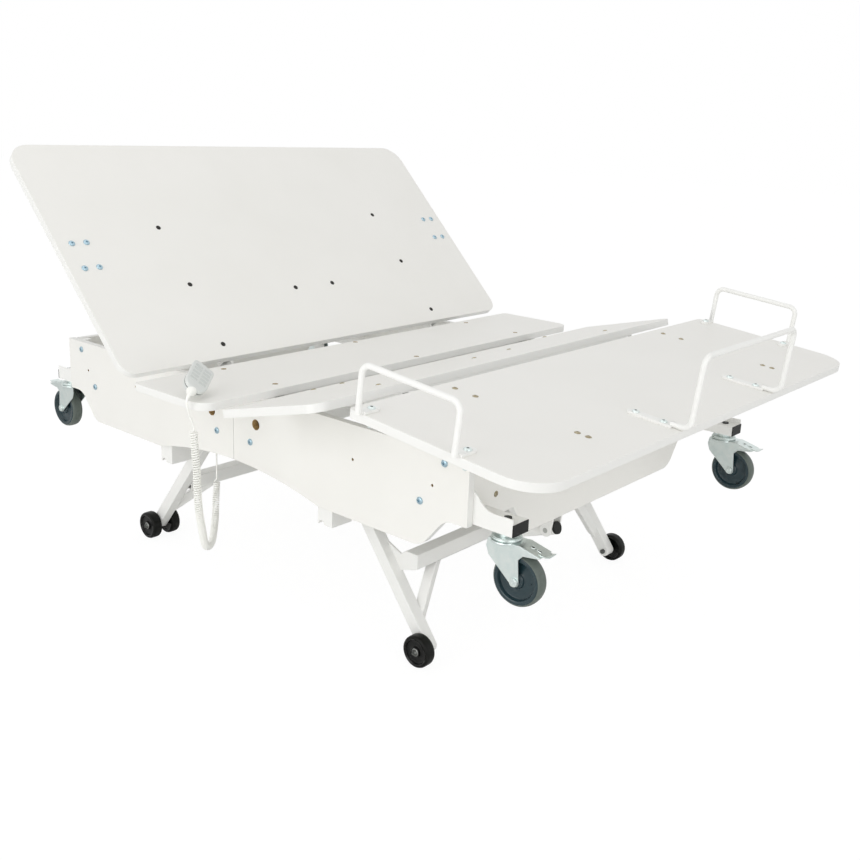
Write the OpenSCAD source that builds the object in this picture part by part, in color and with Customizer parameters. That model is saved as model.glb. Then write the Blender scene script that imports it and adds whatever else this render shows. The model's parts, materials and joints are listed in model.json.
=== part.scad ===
// Bariatric bed: a four-section board deck on a steel and board base, with two pairs of
// swinging legs on floor rollers, four braked casters that take over when the bed is lowered,
// three mattress retainers and a wired handset.
// X runs across the bed, +Y points to the head end, +Z is up. The origin is on the floor
// under the middle of the bed. The backrest and the leg sections are drawn raised.

/* [Deck] */
// Width of the mattress boards
deck_w = 1400; // [1200:10:1500]
// Thickness of the mattress boards
board_t = 18; // [14:1:24]
// Height of the seat board's top above the floor
deck_z = 578; // [570:1:640]
// Length of the backrest board
back_len = 690; // [600:10:760]
// Length of the seat board
seat_len = 252; // [220:2:280]
// Length of the thigh board
thigh_len = 293; // [260:1:320]
// Length of the calf board
calf_len = 432; // [380:2:460]
// Raised angle of the backrest
back_rest = 45.4; // [0:0.1:60]
// Raised angle of the thigh section
thigh_rest = 14.35; // [0:0.05:25]
// Angle between the calf and the thigh section
calf_rest = 20.47; // [0:0.01:35]

/* [Base] */
// Length of the base over its side panels
base_len = 1416; // [1380:2:1450]
// Width of the base over its side panels
base_w = 1036; // [1000:2:1060]
// Thickness of the base panels
panel_t = 18; // [14:1:22]
// Height of the panels' low lobes above the floor
panel_low_z = 347; // [335:1:360]
// Height of the panels' raised ends above the floor
panel_end_z = 420; // [410:1:422]
// Length of the long rails that carry the casters
rail_len = 1607; // [1560:1:1640]
// Width of the long rails
rail_w = 50; // [40:1:50]
// Height of the long rails
rail_h = 25; // [20:1:30]
// Height of the long rails' underside above the floor
rail_z = 424; // [423:1:430]
// Side of the square cross tubes
cross_side = 40; // [30:1:40]
// Wall of the steel tubes
tube_wall = 2.5; // [1.5:0.5:4]

/* [Legs] */
// Distance from the middle of the base to a leg pivot
pivot_out = 177.5; // [170:0.5:185]
// Height of the leg pivots
pivot_z = 470; // [465:1:475]
// Distance from the middle of the base to a floor roller's axle
hub_out = 508.5; // [480:0.5:530]
// Diameter of the floor rollers
roller_d = 75; // [60:1:80]
// Width of the floor rollers
roller_w = 28; // [22:1:30]
// Side of the square leg tubes
leg_side = 30; // [24:1:34]
// Distance from the bed's middle to a leg's middle
leg_x = 381; // [370:1:385]

/* [Casters] */
// Diameter of the caster wheels
wheel_d = 110; // [90:1:115]
// Width of the caster wheels
wheel_w = 34; // [28:1:36]
// Height of the caster axles while the bed stands on its legs
axle_z = 333; // [325:1:340]
// Distance from a caster's swivel axis to its axle
caster_trail = 35; // [30:1:40]
// Distance from the middle of the base to a swivel axis
caster_out = 773; // [765:1:780]
// Distance from a rail's outer face to a swivel axis
stem_in = 26; // [22:1:30]

/* [Retainers] */
// Diameter of the retainer rods
rod_d = 12; // [10:0.5:14]
// Height of the side retainers above the board
side_retainer_h = 97; // [80:1:120]
// Height of the foot retainer above the board
foot_retainer_h = 155; // [120:1:180]
// Half the width of the foot retainer
foot_retainer_x = 215; // [180:5:260]

/* [Handset] */
// Length of the handset
handset_len = 105; // [95:1:120]
// Width of the handset
handset_w = 54; // [50:1:60]
// Thickness of the handset
handset_t = 22; // [18:1:25]
// Outer diameter of the curly cord
curl_d = 17; // [14:0.5:18]
// Diameter of the handset cord itself
cord_d = 3.6; // [3:0.1:4]
// Number of curls in the curly cord
curl_count = 88; // [60:1:90]

/* [Hidden] */

// One overrun serves every cut
over = 1;
// How far welded pieces, or a flank and the round of its eye, run into each other
eye_bite = 0.5;
// Facets of small and large round shapes
fine = 32;
smooth = 96;

// Gaps: between a pin and its hole, between parts that pass each other, and at running gaps
pin_gap = 0.05;
seat_gap = 0.3;
side_gap = 1;

// Names for the two ends and the two sides
HEAD = 1;
FOOT = -1;
LEFT = -1;
RIGHT = 1;

// Base, along Y from the middle of the base
base_y = 69;
base_half = base_len / 2;
base_x = base_w / 2;
inner_x = base_x - panel_t;
rail_half = rail_len / 2;
caster_x = inner_x - stem_in;
rail_mid_x = inner_x - rail_w / 2;
rail_top = rail_z + rail_h;
panel_drop = 0.5;
board_low_z = deck_z - board_t;
panel_top_z = board_low_z - panel_drop;
panel_joint_gap = 1.5;
arch_rise = 37;
arch_half = 290;
arch_r = (arch_half * arch_half + arch_rise * arch_rise) / (2 * arch_rise);
lobe_in = 138;
lobe_end = base_half - lobe_in;
lobe_r = 45;
lobe_turn = 50;
end_panel_inset = 4;
end_panel_low_z = 350;
end_panel_flat = 285;
end_panel_r = 50;
end_panel_turn = 55;
end_panel_gap = 0.5;
end_fix_x = 423;
end_fix_z = 466;
frame_notch_gap = 3;
small_hole_r = 3;
cable_hole_r = 12.5;
cable_hole_out = 81;
cable_hole_z = 488;
small_holes = [[395.5, 483], [base_half - 91, 484.5]];

// Cross tubes of the base frame
cross_out = 61.5;
cross_top = rail_top + cross_side;
end_tube_side = 25;
seat_tube_side = 25;
post_side = 25;
gusset_t = 4;
gusset_lip = 36;
gusset_flat = 45;
gusset_rise = 86;
hook_w = 62;
hook_len = 46;
hook_out = 294.5;
hook_drop = 47;
hook_z = 345;
hook_r = 9;
hook_share = 0.25;

// Hinges of the deck
hinge_drop = 40;
hip_out = 166;
hip_y = base_y + hip_out;
hinge_z = deck_z - hinge_drop;
back_setback = 29;
seat_setback = 40;
thigh_gap = 54;
thigh_setback = 22;
knee_gap = 50;
calf_setback = 22.5;
seat_head_y = hip_y - seat_setback;
seat_foot_y = seat_head_y - seat_len;
thigh_y = seat_foot_y - thigh_gap;
knee_reach = thigh_setback + thigh_len + knee_gap;
pin_r = 6;
lug_r = 15;
lug_t = 8;
ear_t = 6;

// Frames under the boards
deck_tube = 25;
back_tube_x = 399;
thigh_tube_in = 47;
thigh_tube_x = inner_x - thigh_tube_in;
calf_tube_x = 430;
calf_lug_x = thigh_tube_x - deck_tube / 2 - 2 * lug_t - side_gap;
tube_top = hinge_drop - board_t;
tube_low = tube_top - deck_tube;
lever_len = 120;
back_lever_turn = 32.7;
thigh_lever_turn = 15;
lever_t = 8;
lever_w = 34;
lever_pin_r = 6;
back_lever_x = -60;
thigh_lever_x = 60;
lever_cross = 70;
side_mount_in = 60;
side_mount_x = deck_w / 2 - side_mount_in;
side_mount_w = 76;
side_mount_len = 110;
side_mount_t = 6;
side_mount_pitch_x = 39;
side_mount_pitch_y = 75;
side_mount_share = 0.496;
back_run_share = 0.62;
calf_run_share = 0.86;
control_box_w = 224;
control_box_h = 50;
control_box_l = 126;

// Fasteners
pan_r = 8;
pan_h = 4;
pan_shank_r = 4;
cap_r = 6.5;
cap_h = 2;
cap_shank_r = 3;
seat_cap_depth = cap_h + 0.2;
hole_gap = 0.4;
back_fix_share = [0.058, 0.329, 0.596];
back_mid_share = 0.2594;
back_mid_x = 70;
seat_fix_share = [0.107, 0.853];
seat_mid_share = [0.04, 0.936];
seat_fix_in = 34;
seat_fix_x = inner_x - seat_fix_in;
thigh_fix_share = [0.044, 0.744];
thigh_mid_share = [[-0.0186, 0.461], [0.095, 0.423], [-0.2643, 0.065]];
calf_head_share = [0.074, 0.197];
calf_foot_share = [0.736, 0.792];
calf_foot_x = 415;
panel_screws = [[base_half - 62, 538], [base_half - 122, 444], [61.5, 442]];
panel_screw_len = panel_t;

// Corner radii of the boards
back_top_r = 60;
back_low_r = 40;
seat_foot_r = 40;
seat_head_r = 12;
thigh_head_r = 5;
thigh_foot_r = 35;
calf_head_r = 12;
calf_foot_r = 80;

// Retainers, on the calf board from its head edge
retainer_out = 7;
retainer_share = [0.0764, 0.6065];
retainer_bend = 20;
tab_t = 5;
tab_w = 22;
tab_len = 46;
tab_screw_in = 28;
foot_bar_share = 0.735;
foot_bar_screw_share = [0.752, 0.898];
foot_post_out = 14;
stud_r = 4;
stud_out = 15;

// Leg frames
leg_pin_r = 8;
leg_eye_r = 20;
clevis_t = 6;
foot_tube_out = 442.5;
foot_tube_z = 221;
head_tube_out = 396;
head_tube_z = 184;
leg_tube_side = 36;
brace_side = 24;
brace_in = 76;
brace_low_z = 92;
gusset_w = 6;
axle_r = 4;
axle_gap = 0.05;
roller_side_gap = 1;
roller_hub_r = 14;
roller_dish = 3;
roller_tyre = 9;
bolt_head_r = 7.5;
bolt_head_h = 5;
nut_r = 7;
nut_h = 7;

// Casters
stem_r = 8;
race_r = 29;
race_h = 7;
race_gap = 0.3;
collar_h = 8;
fork_t = 3;
fork_gap = 2;
fork_top_z = rail_z - collar_h - race_h;
wheel_axle_r = 6;
wheel_hub_r = 17;
wheel_tread = 13;
wheel_dish = 7;
pedal_w = 40;
pedal_t = 3;
pedal_in = 46;
pedal_out = 104;
pedal_tip = 12;
pedal_z = fork_top_z - 6;
caster_turn = [[0, 0], [0, 4]];

// Actuators
tube_r = 15;
bore_r = 10.5;
act_rod_r = 10;
act_eye_r = 17;
act_eye_hole = 9;
act_body_start = 19;
act_eye_t = 10;
act_pin_r = 6;
act_boss_r = 15;
act_fork_gap = 1;
act_fork_t = 5;
deck_act_z = 421;
back_act_reach = 298;
thigh_act_reach = 312;
back_act_y = hip_y - back_act_reach;
thigh_act_y = thigh_y + thigh_act_reach;
deck_tube_len = 200;
back_rod_start = 128;
thigh_rod_start = 87;
act_tail_r = 11;
back_slot = [-3, 16];
thigh_slot = [-4.5, 0];
leg_slot = [-4, 3];

// Leg actuators: each pushes a crank on the torque tube of one pair of legs
crank_len = 100;
crank_lean = 16;
torque_r = 19;
leg_act_x = 144;
leg_act_back = 150;
leg_act_z = 375;
leg_tube_len = 174;
leg_rod_start = 60;

// Fixed strut that slants down from a bracket under the foot end
strut_x = 144;
strut_out = 657;
strut_z = 298;
strut_turn = 20;
strut_in = 135;
strut_tail = 16;
strut_cap_len = 6;

// Handset place: the middle of its cord end, then turn, tilt and lean
handset_at = [-692, -21, 607.1];
handset_turn = [14, 41, -51];
handset_low_w = 34;
handset_r = 6;
key_rows = 5;
key_h = 1;
key_travel = 0.8;
key_depth_share = 0.075;
key_w_share = 0.34;
key_pitch_share = 0.13;
key_first_share = 0.3;
relief_len = 12;
relief_r = 5;

// Worked out from the sizes above
hub_z = roller_d / 2;
crank_in = leg_act_x - act_rod_r - side_gap - lever_t;
crank_tip = [pivot_out, pivot_z] - crank_len * [sin(crank_lean), cos(crank_lean)];
function crank_side(e) = e == HEAD ? LEFT : RIGHT;

// Routes of the cord: chosen points in the frame of the whole bed
lead_points = [
    [-704.1, -21.5, 596.1], [-706.5, -23.1, 595.4], [-708.8, -24.4, 593.8], [-710.4, -25.5, 591],
    [-711.5, -26.5, 587.2], [-711.9, -27.3, 581.5], [-711.4, -28.2, 573], [-710, -29.2, 562],
    [-708.2, -30.4, 550], [-706.2, -31.4, 540], [-705.2, -31.9, 533], [-705, -32, 530.1]
];
curl_points = [
    [-705, -32, 530], [-705, -33, 505], [-705, -36, 470], [-704, -39, 430], [-702, -38, 374],
    [-694, -31, 328], [-664, -2, 260], [-634, 30, 213], [-596, 67, 187], [-560, 102, 178],
    [-534, 129, 186], [-506, 158, 210], [-488, 178, 248], [-478, 187, 285], [-476, 189, 300]
];
low_points = [
    [-476, 189, 300.1], [-475.5, 189.5, 304], [-475.2, 189.8, 310], [-475, 190, 320],
    [-475, 190, 340], [-475, 190, 365], [-475, 190, 395], [-475, 190, 423.8]
];

// Small geometry helpers
function arc(c, r, a0, a1, n) =
    [for (i = [0:n]) c + r * [cos(a0 + (a1 - a0) * i / n), sin(a0 + (a1 - a0) * i / n)]];
function heading(a, b) = atan2(b[1] - a[1], b[0] - a[0]);
function tangent(p, c, r, side) =
    let (d = c - p, gap = norm(d), turn = heading(p, c) + side * asin(r / gap))
    p + sqrt(gap * gap - r * r) * [cos(turn), sin(turn)];

module both_sides() {
    children();
    mirror([1, 0, 0]) children();
}

// Moves a piece drawn outwards from the base's middle to the head or the foot end
module at_end(e) {
    translate([0, base_y, 0])
        if (e == HEAD) children();
        else mirror([0, 1, 0]) children();
}

module at_side(s) {
    if (s == RIGHT) children();
    else mirror([1, 0, 0]) children();
}

// A block between two corners
module block(lo, hi) translate(lo) cube(hi - lo);

// Round bars along X, between two places
module bar_x(r, x0, x1, y, z) {
    translate([x0, y, z]) rotate([0, 90, 0]) cylinder(r = r, h = x1 - x0, $fn = fine);
}

module bar_z(r, z0, z1, x, y) {
    translate([x, y, z0]) cylinder(r = r, h = z1 - z0, $fn = fine);
}

// A flat shape drawn in Y and Z, extruded along X
module slab_x(x0, t) {
    translate([x0, 0, 0]) rotate([90, 0, 90]) linear_extrude(t) children();
}

// Square tube along X with open ends, by its middle
module tube_x(x0, x1, y, z, side) {
    half = side / 2;
    bore = half - tube_wall;
    difference() {
        block([x0, y - half, z - half], [x1, y + half, z + half]);
        block([x0 - over, y - bore, z - bore], [x1 + over, y + bore, z + bore]);
    }
}

// Rectangular tube along Y with open ends, by its corners
module tube_y(lo, hi) {
    w = tube_wall;
    difference() {
        block(lo, hi);
        block([lo[0] + w, lo[1] - over, lo[2] + w], [hi[0] - w, hi[1] + over, hi[2] - w]);
    }
}

// A strip of width w between two points
module strip(a, b, w) {
    translate(a) rotate(heading(a, b)) translate([0, -w / 2]) square([norm(b - a), w]);
}

// A plate from the edge p0-p1 to an eye round c, which lies to the left of p0-p1
module eye_plate(p0, p1, c, r, hole) {
    difference() {
        union() {
            translate(c) circle(r = r, $fn = smooth);
            polygon([p0, tangent(p0, c, r - eye_bite, 1), c, tangent(p1, c, r - eye_bite, -1), p1]);
        }
        translate(c) circle(r = hole, $fn = smooth);
    }
}

// A rounded corner's waste, at the corner of a board
module corner_waste(x, y, sx, sy, r) {
    translate([x - sx * r, y - sy * r]) difference() {
        translate([sx > 0 ? 0 : -r - over, sy > 0 ? 0 : -r - over]) square(r + over);
        circle(r = r, $fn = smooth);
    }
}

// A board lying from y = 0 to y = len, its top at z = 0
module board(len, near_r, far_r, fixes) {
    translate([0, 0, -board_t]) linear_extrude(board_t) difference() {
        translate([-deck_w / 2, 0]) square([deck_w, len]);
        for (s = [LEFT, RIGHT]) {
            corner_waste(s * deck_w / 2, 0, s, -1, near_r);
            corner_waste(s * deck_w / 2, len, s, 1, far_r);
        }
        for (f = fixes) translate([f[0], f[1]]) circle(r = f[2] + hole_gap, $fn = fine);
    }
}

// Places on a board as [x, distance, shank radius]
function back_fixes() = [
    for (s = [LEFT, RIGHT], k = back_fix_share) [s * back_tube_x, k * back_len, cap_shank_r],
    for (s = [LEFT, RIGHT]) [s * back_mid_x, back_mid_share * back_len, cap_shank_r]
];
function back_mounts() = [
    for (s = [LEFT, RIGHT], i = [-0.5, 0.5], j = [-0.5, 0.5])
        [s * (side_mount_x + i * side_mount_pitch_x),
         side_mount_share * back_len + j * side_mount_pitch_y, pan_shank_r]
];
function seat_fixes() = [
    for (s = [LEFT, RIGHT], k = seat_fix_share) [s * seat_fix_x, k * seat_len, cap_shank_r],
    for (k = seat_mid_share) [0, k * seat_len, cap_shank_r]
];
function thigh_fixes() = [
    for (s = [LEFT, RIGHT], k = thigh_fix_share) [s * thigh_tube_x, k * thigh_len, cap_shank_r],
    for (k = thigh_mid_share) [k[0] * deck_w, k[1] * thigh_len, cap_shank_r]
];
function calf_fixes() = [
    for (s = [LEFT, RIGHT], k = calf_head_share) [s * calf_tube_x, k * calf_len, cap_shank_r],
    for (s = [LEFT, RIGHT], k = calf_foot_share) [s * calf_foot_x, k * calf_len, cap_shank_r]
];
tab_screw_x = deck_w / 2 - tab_screw_in;
function retainer_studs() = [
    for (s = [LEFT, RIGHT], k = retainer_share) [s * tab_screw_x, k * calf_len, stud_r],
    for (s = [LEFT, RIGHT], k = foot_bar_screw_share) [s * foot_retainer_x, k * calf_len, stud_r]
];

// Black socket screw: a low head on the board, or sunk into it, and a shank through it
module cap_screw(sunk = 0) {
    translate([0, 0, -sunk]) difference() {
        cylinder(r = cap_r, h = cap_h, $fn = fine);
        translate([0, 0, cap_h / 2]) cylinder(r = cap_shank_r, h = cap_h, $fn = 6);
    }
    translate([0, 0, -board_t]) cylinder(r = cap_shank_r, h = board_t - sunk + cap_h / 2, $fn = fine);
}

// Zinc pan screw that goes through a thickness
module pan_screw(through) {
    difference() {
        union() {
            cylinder(r = pan_r, h = pan_h / 2, $fn = fine);
            translate([0, 0, pan_h / 2]) cylinder(r1 = pan_r, r2 = pan_r - pan_h / 2, h = pan_h / 2, $fn = fine);
        }
        translate([0, 0, pan_h / 2]) cylinder(r = pan_r / 3, h = pan_h, $fn = 6);
    }
    translate([0, 0, -through]) cylinder(r = pan_shank_r, h = through + pan_h / 4, $fn = fine);
}

// The frames of the moving deck sections, with their origin on the hinge line
module on_back() {
    translate([0, hip_y, hinge_z]) rotate([back_rest, 0, 0]) children();
}

module on_thigh() {
    translate([0, thigh_y, hinge_z]) rotate([-thigh_rest, 0, 0]) children();
}

module on_calf() {
    on_thigh() translate([0, -knee_reach, 0]) rotate([calf_rest, 0, 0]) children();
}

// The top of each board, with distances running from its first edge
module back_top() {
    on_back() translate([0, back_setback, hinge_drop]) children();
}

module thigh_top() {
    on_thigh() translate([0, -thigh_setback, hinge_drop]) mirror([0, 1, 0]) children();
}

module calf_top() {
    on_calf() translate([0, -calf_setback, hinge_drop]) mirror([0, 1, 0]) children();
}

module seat_top() {
    translate([0, seat_head_y, deck_z]) mirror([0, 1, 0]) children();
}

// Side panels: outline of one half, outwards from the middle of the base
module side_panel_shape() {
    rise = panel_end_z - panel_low_z;
    low = [lobe_end, panel_low_z + lobe_r];
    low_run = lobe_r * sin(lobe_turn);
    low_rise = lobe_r * (1 - cos(lobe_turn));
    slope_run = (rise - 2 * low_rise) / tan(lobe_turn);
    high = [lobe_end + 2 * low_run + slope_run, panel_end_z - lobe_r];
    difference() {
        polygon(concat(
            [[panel_joint_gap / 2, panel_low_z]],
            arc(low, lobe_r, -90, lobe_turn - 90, 10),
            arc(high, lobe_r, 90 + lobe_turn, 90, 10),
            [[base_half, panel_end_z], [base_half, panel_top_z], [panel_joint_gap / 2, panel_top_z]]
        ));
        translate([0, panel_low_z + arch_rise - arch_r]) circle(r = arch_r, $fn = 360);
        translate([cable_hole_out, cable_hole_z]) circle(r = cable_hole_r, $fn = fine);
        for (h = small_holes) translate(h) circle(r = small_hole_r, $fn = fine);
        for (h = panel_screws) translate(h) circle(r = pan_shank_r + hole_gap, $fn = fine);
    }
}

module side_panel(e, s) {
    at_end(e) at_side(s) slab_x(inner_x, panel_t) side_panel_shape();
}

// End panels: a low middle, raised ends that clear the rails and gussets, and at the foot end
// a notch for each long tube of the calf frame
module end_panel_shape(e) {
    half = inner_x - gusset_t - end_panel_gap;
    c = [end_panel_flat, end_panel_low_z + end_panel_r];
    low_x = c[0] + end_panel_r * sin(end_panel_turn);
    low_z = c[1] - end_panel_r * cos(end_panel_turn);
    end_x = low_x + (panel_end_z - low_z) / tan(end_panel_turn);
    rail_in = inner_x - rail_w - end_panel_gap;
    notch_z = hinge_z + tube_low - frame_notch_gap;
    difference() {
        polygon(concat(
            arc(c, end_panel_r, -90, end_panel_turn - 90, 10),
            [[end_x, panel_end_z], [rail_in, panel_end_z], [rail_in, rail_top + end_panel_gap]],
            [[half, rail_top + end_panel_gap], [half, panel_top_z]],
            [[-half, panel_top_z], [-half, rail_top + end_panel_gap]],
            [[-rail_in, rail_top + end_panel_gap], [-rail_in, panel_end_z], [-end_x, panel_end_z]],
            arc([-c[0], c[1]], end_panel_r, -90 - end_panel_turn, -90, 10)
        ));
        for (s = [LEFT, RIGHT]) {
            translate([s * end_fix_x, end_fix_z]) circle(r = cap_shank_r + hole_gap, $fn = fine);
            if (e == FOOT) translate([s * (calf_lug_x - deck_tube / 2) - deck_tube / 2 - frame_notch_gap, notch_z])
                square([deck_tube + 2 * frame_notch_gap, hinge_drop]);
        }
    }
}

module end_panel(e) {
    color("#EDECE7") at_end(e) translate([0, base_half - end_panel_inset, 0])
        rotate([90, 0, 0]) linear_extrude(panel_t) end_panel_shape(e);
}

// One half of the base frame, outwards from the middle of the base
module half_frame(e) {
    end_y = base_half - end_panel_inset - panel_t;
    cross_mid = rail_top + cross_side / 2;
    rail_in = inner_x - rail_w;
    both_sides() {
        difference() {
            tube_y([rail_in, 0, rail_z], [inner_x, rail_half, rail_top]);
            bar_z(stem_r + pin_gap, rail_z - over, rail_top + over, caster_x, caster_out);
        }
        slab_x(inner_x - gusset_t, gusset_t) polygon(concat(
            [[end_y, rail_top], [rail_half, rail_top], [rail_half, rail_z + gusset_lip]],
            arc([rail_half - gusset_flat, rail_z + gusset_lip + gusset_flat], gusset_flat, -90, -150, 8),
            [[end_y, rail_z + gusset_rise]]
        ));
        block([inner_x - post_side, end_y - post_side, rail_top], [inner_x, end_y, panel_top_z - over]);
        block(
            [seat_fix_x - seat_tube_side / 2, cross_out - seat_tube_side / 2, cross_top],
            [seat_fix_x + seat_tube_side / 2, cross_out + seat_tube_side / 2, board_low_z - seat_tube_side]
        );
    }
    at_side(crank_side(e)) leg_clevis(crank_in - side_gap - clevis_t);
    at_side(-crank_side(e)) leg_clevis(leg_x - leg_side / 2 - clevis_t - side_gap);
    tube_x(-inner_x, inner_x, cross_out, cross_mid, cross_side);
    tube_x(-rail_in, rail_in, end_y - end_tube_side / 2, rail_z + rail_h / 2, end_tube_side);
}

// The two cheeks that hold a leg's pivot pin: one outside the leg, the other at inner_x0
module leg_clevis(inner_x0) {
    c = [pivot_out, pivot_z];
    edge = cross_out + cross_side / 2;
    for (x = [inner_x0, leg_x + leg_side / 2 + side_gap])
        slab_x(x, clevis_t) eye_plate([edge, cross_top], [edge, rail_top], c, leg_eye_r, leg_pin_r + pin_gap);
}

module base_frame() {
    color("#F1F1EE") {
        for (e = [HEAD, FOOT]) {
            at_end(e) half_frame(e);
            at_end(e) leg_actuator_bracket(crank_side(e));
        }
        at_end(FOOT) strut();
        seat_bearers();
        deck_ears();
        deck_actuator_brackets();
        transport_hooks();
    }
}

// The bearers right under the seat board
module seat_bearers() {
    z0 = board_low_z - seat_tube_side;
    half = seat_tube_side / 2;
    first_y = seat_head_y - seat_mid_share[0] * seat_len - half;
    last_y = seat_head_y - seat_mid_share[1] * seat_len + half;
    for (s = [LEFT, RIGHT])
        tube_y([s * seat_fix_x - half, last_y - half, z0], [s * seat_fix_x + half, first_y + half, board_low_z]);
    for (y = [first_y, last_y])
        tube_x(-seat_fix_x + half, seat_fix_x - half, y, z0 + half, seat_tube_side);
}

// Ears that hold the backrest's and the thigh section's hinge pins
module deck_ears() {
    head_edge = base_y + cross_out;
    foot_edge = base_y - cross_out;
    half = cross_side / 2;
    back_ear_x = back_tube_x - deck_tube / 2 - lug_t - side_gap - ear_t;
    thigh_ear_x = thigh_tube_x - deck_tube / 2 - lug_t - side_gap - ear_t;
    both_sides() {
        slab_x(back_ear_x, ear_t) eye_plate(
            [head_edge - half, cross_top], [head_edge + half, cross_top],
            [hip_y, hinge_z], lug_r, pin_r + pin_gap);
        slab_x(thigh_ear_x, ear_t) eye_plate(
            [foot_edge - half, cross_top], [foot_edge + half, cross_top],
            [thigh_y, hinge_z], lug_r, pin_r + pin_gap);
    }
}

// Brackets under the cross tubes for the backrest's and the thigh section's actuators
module deck_actuator_brackets() {
    head_edge = base_y + cross_out;
    foot_edge = base_y - cross_out;
    half = cross_side / 2;
    reach = tube_r + act_fork_gap;
    for (s = [LEFT, RIGHT]) {
        slab_x(back_lever_x + (s == RIGHT ? reach : -reach - act_fork_t), act_fork_t) eye_plate(
            [foot_edge + half, rail_top], [foot_edge - half, rail_top],
            [back_act_y, deck_act_z], act_boss_r, act_pin_r + pin_gap);
        slab_x(thigh_lever_x + (s == RIGHT ? reach : -reach - act_fork_t), act_fork_t) eye_plate(
            [head_edge + half, rail_top], [head_edge - half, rail_top],
            [thigh_act_y, deck_act_z], act_boss_r, act_pin_r + pin_gap);
    }
}

// Bracket under the far cross tube for a leg actuator's fixed pin
module leg_actuator_bracket(s) {
    reach = tube_r + act_fork_gap;
    half = cross_side / 2;
    at_side(s) for (x = [leg_act_x - reach - act_fork_t, leg_act_x + reach])
        slab_x(x, act_fork_t) eye_plate(
            [half - cross_out, rail_top], [-half - cross_out, rail_top],
            [-leg_act_back, leg_act_z], act_boss_r, act_pin_r + pin_gap);
}

// Strut tube between two cheeks under the end tube
module strut() {
    end_y = base_half - end_panel_inset - panel_t;
    bore = tube_r - tube_wall;
    for (x = [-strut_x - tube_r - act_fork_t + eye_bite, -strut_x + tube_r - eye_bite])
        slab_x(x, act_fork_t) eye_plate(
            [end_y, rail_z], [end_y - end_tube_side, rail_z],
            [strut_out, strut_z], act_boss_r, act_pin_r + pin_gap);
    translate([-strut_x, strut_out, strut_z]) rotate([strut_turn - 90, 0, 0]) difference() {
        translate([0, 0, -strut_in]) cylinder(r = tube_r, h = strut_in + strut_tail, $fn = fine);
        translate([0, 0, -strut_in - over]) cylinder(r = bore, h = strut_in + strut_tail + 2 * over, $fn = fine);
        bar_x(act_pin_r + hole_gap, -strut_x, strut_x, 0, 0);
    }
}

// Brackets with a half-round notch that hang under the rails
module transport_hooks() {
    low = hook_z - hook_drop;
    for (s = [LEFT, RIGHT], e = [HEAD, FOOT]) {
        y0 = base_y + e * hook_out - hook_len / 2;
        at_side(s) difference() {
            block([inner_x - hook_w, y0, low], [inner_x, y0 + hook_len, rail_z]);
            bar_x(hook_r, inner_x - hook_w - over, inner_x + over, y0 + hook_len * (1 - hook_share), low);
        }
    }
}

module side_panel_head_left() color("#EDECE7") side_panel(HEAD, LEFT);
module side_panel_head_right() color("#EDECE7") side_panel(HEAD, RIGHT);
module side_panel_foot_left() color("#EDECE7") side_panel(FOOT, LEFT);
module side_panel_foot_right() color("#EDECE7") side_panel(FOOT, RIGHT);
module head_end_panel() end_panel(HEAD);
module foot_end_panel() end_panel(FOOT);

module panel_and_seat_screws() {
    color("#9FB2BD") for (e = [HEAD, FOOT], s = [LEFT, RIGHT], p = panel_screws)
        at_end(e) at_side(s) translate([base_x, p[0], p[1]]) rotate([0, 90, 0]) pan_screw(panel_screw_len);
    color("#2B2B2A") {
        seat_top() for (f = seat_fixes()) translate([f[0], f[1], 0]) cap_screw(seat_cap_depth);
        for (e = [HEAD, FOOT], s = [LEFT, RIGHT]) at_end(e)
            translate([s * end_fix_x, base_half - end_panel_inset, end_fix_z]) rotate([-90, 0, 0]) cap_screw();
    }
}

// Black plugs in the ends of the rails, and round caps over the caster stems
module tube_end_caps() {
    plug = rail_h - 2 * tube_wall;
    color("#2A2D2C") for (e = [HEAD, FOOT], s = [LEFT, RIGHT]) at_end(e) at_side(s) {
        block([inner_x - rail_w, rail_half, rail_z], [inner_x, rail_half + tube_wall, rail_top]);
        block(
            [inner_x - rail_w + tube_wall + seat_gap, rail_half - plug, rail_z + tube_wall + seat_gap],
            [inner_x - tube_wall - seat_gap, rail_half, rail_top - tube_wall - seat_gap]
        );
        bar_z(stem_r, rail_top, rail_top + tube_wall, caster_x, caster_out);
    }
    color("#2A2D2C") at_end(FOOT) translate([-strut_x, strut_out, strut_z]) rotate([strut_turn - 90, 0, 0])
        translate([0, 0, strut_tail]) cylinder(r = tube_r, h = strut_cap_len, $fn = fine);
}

module seat_board() {
    color("#F1F0EC") seat_top() difference() {
        board(seat_len, seat_head_r, seat_foot_r, seat_fixes());
        for (f = seat_fixes()) translate([f[0], f[1], -seat_cap_depth])
            cylinder(r = cap_r + hole_gap, h = seat_cap_depth + over, $fn = fine);
    }
}

// Control box, screwed up against the underside of the seat board
module control_box() {
    mid_y = seat_head_y - seat_len / 2;
    color("#3A3D3F") block(
        [-control_box_w / 2, mid_y - control_box_l / 2, board_low_z - control_box_h],
        [control_box_w / 2, mid_y + control_box_l / 2, board_low_z]
    );
}

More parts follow.
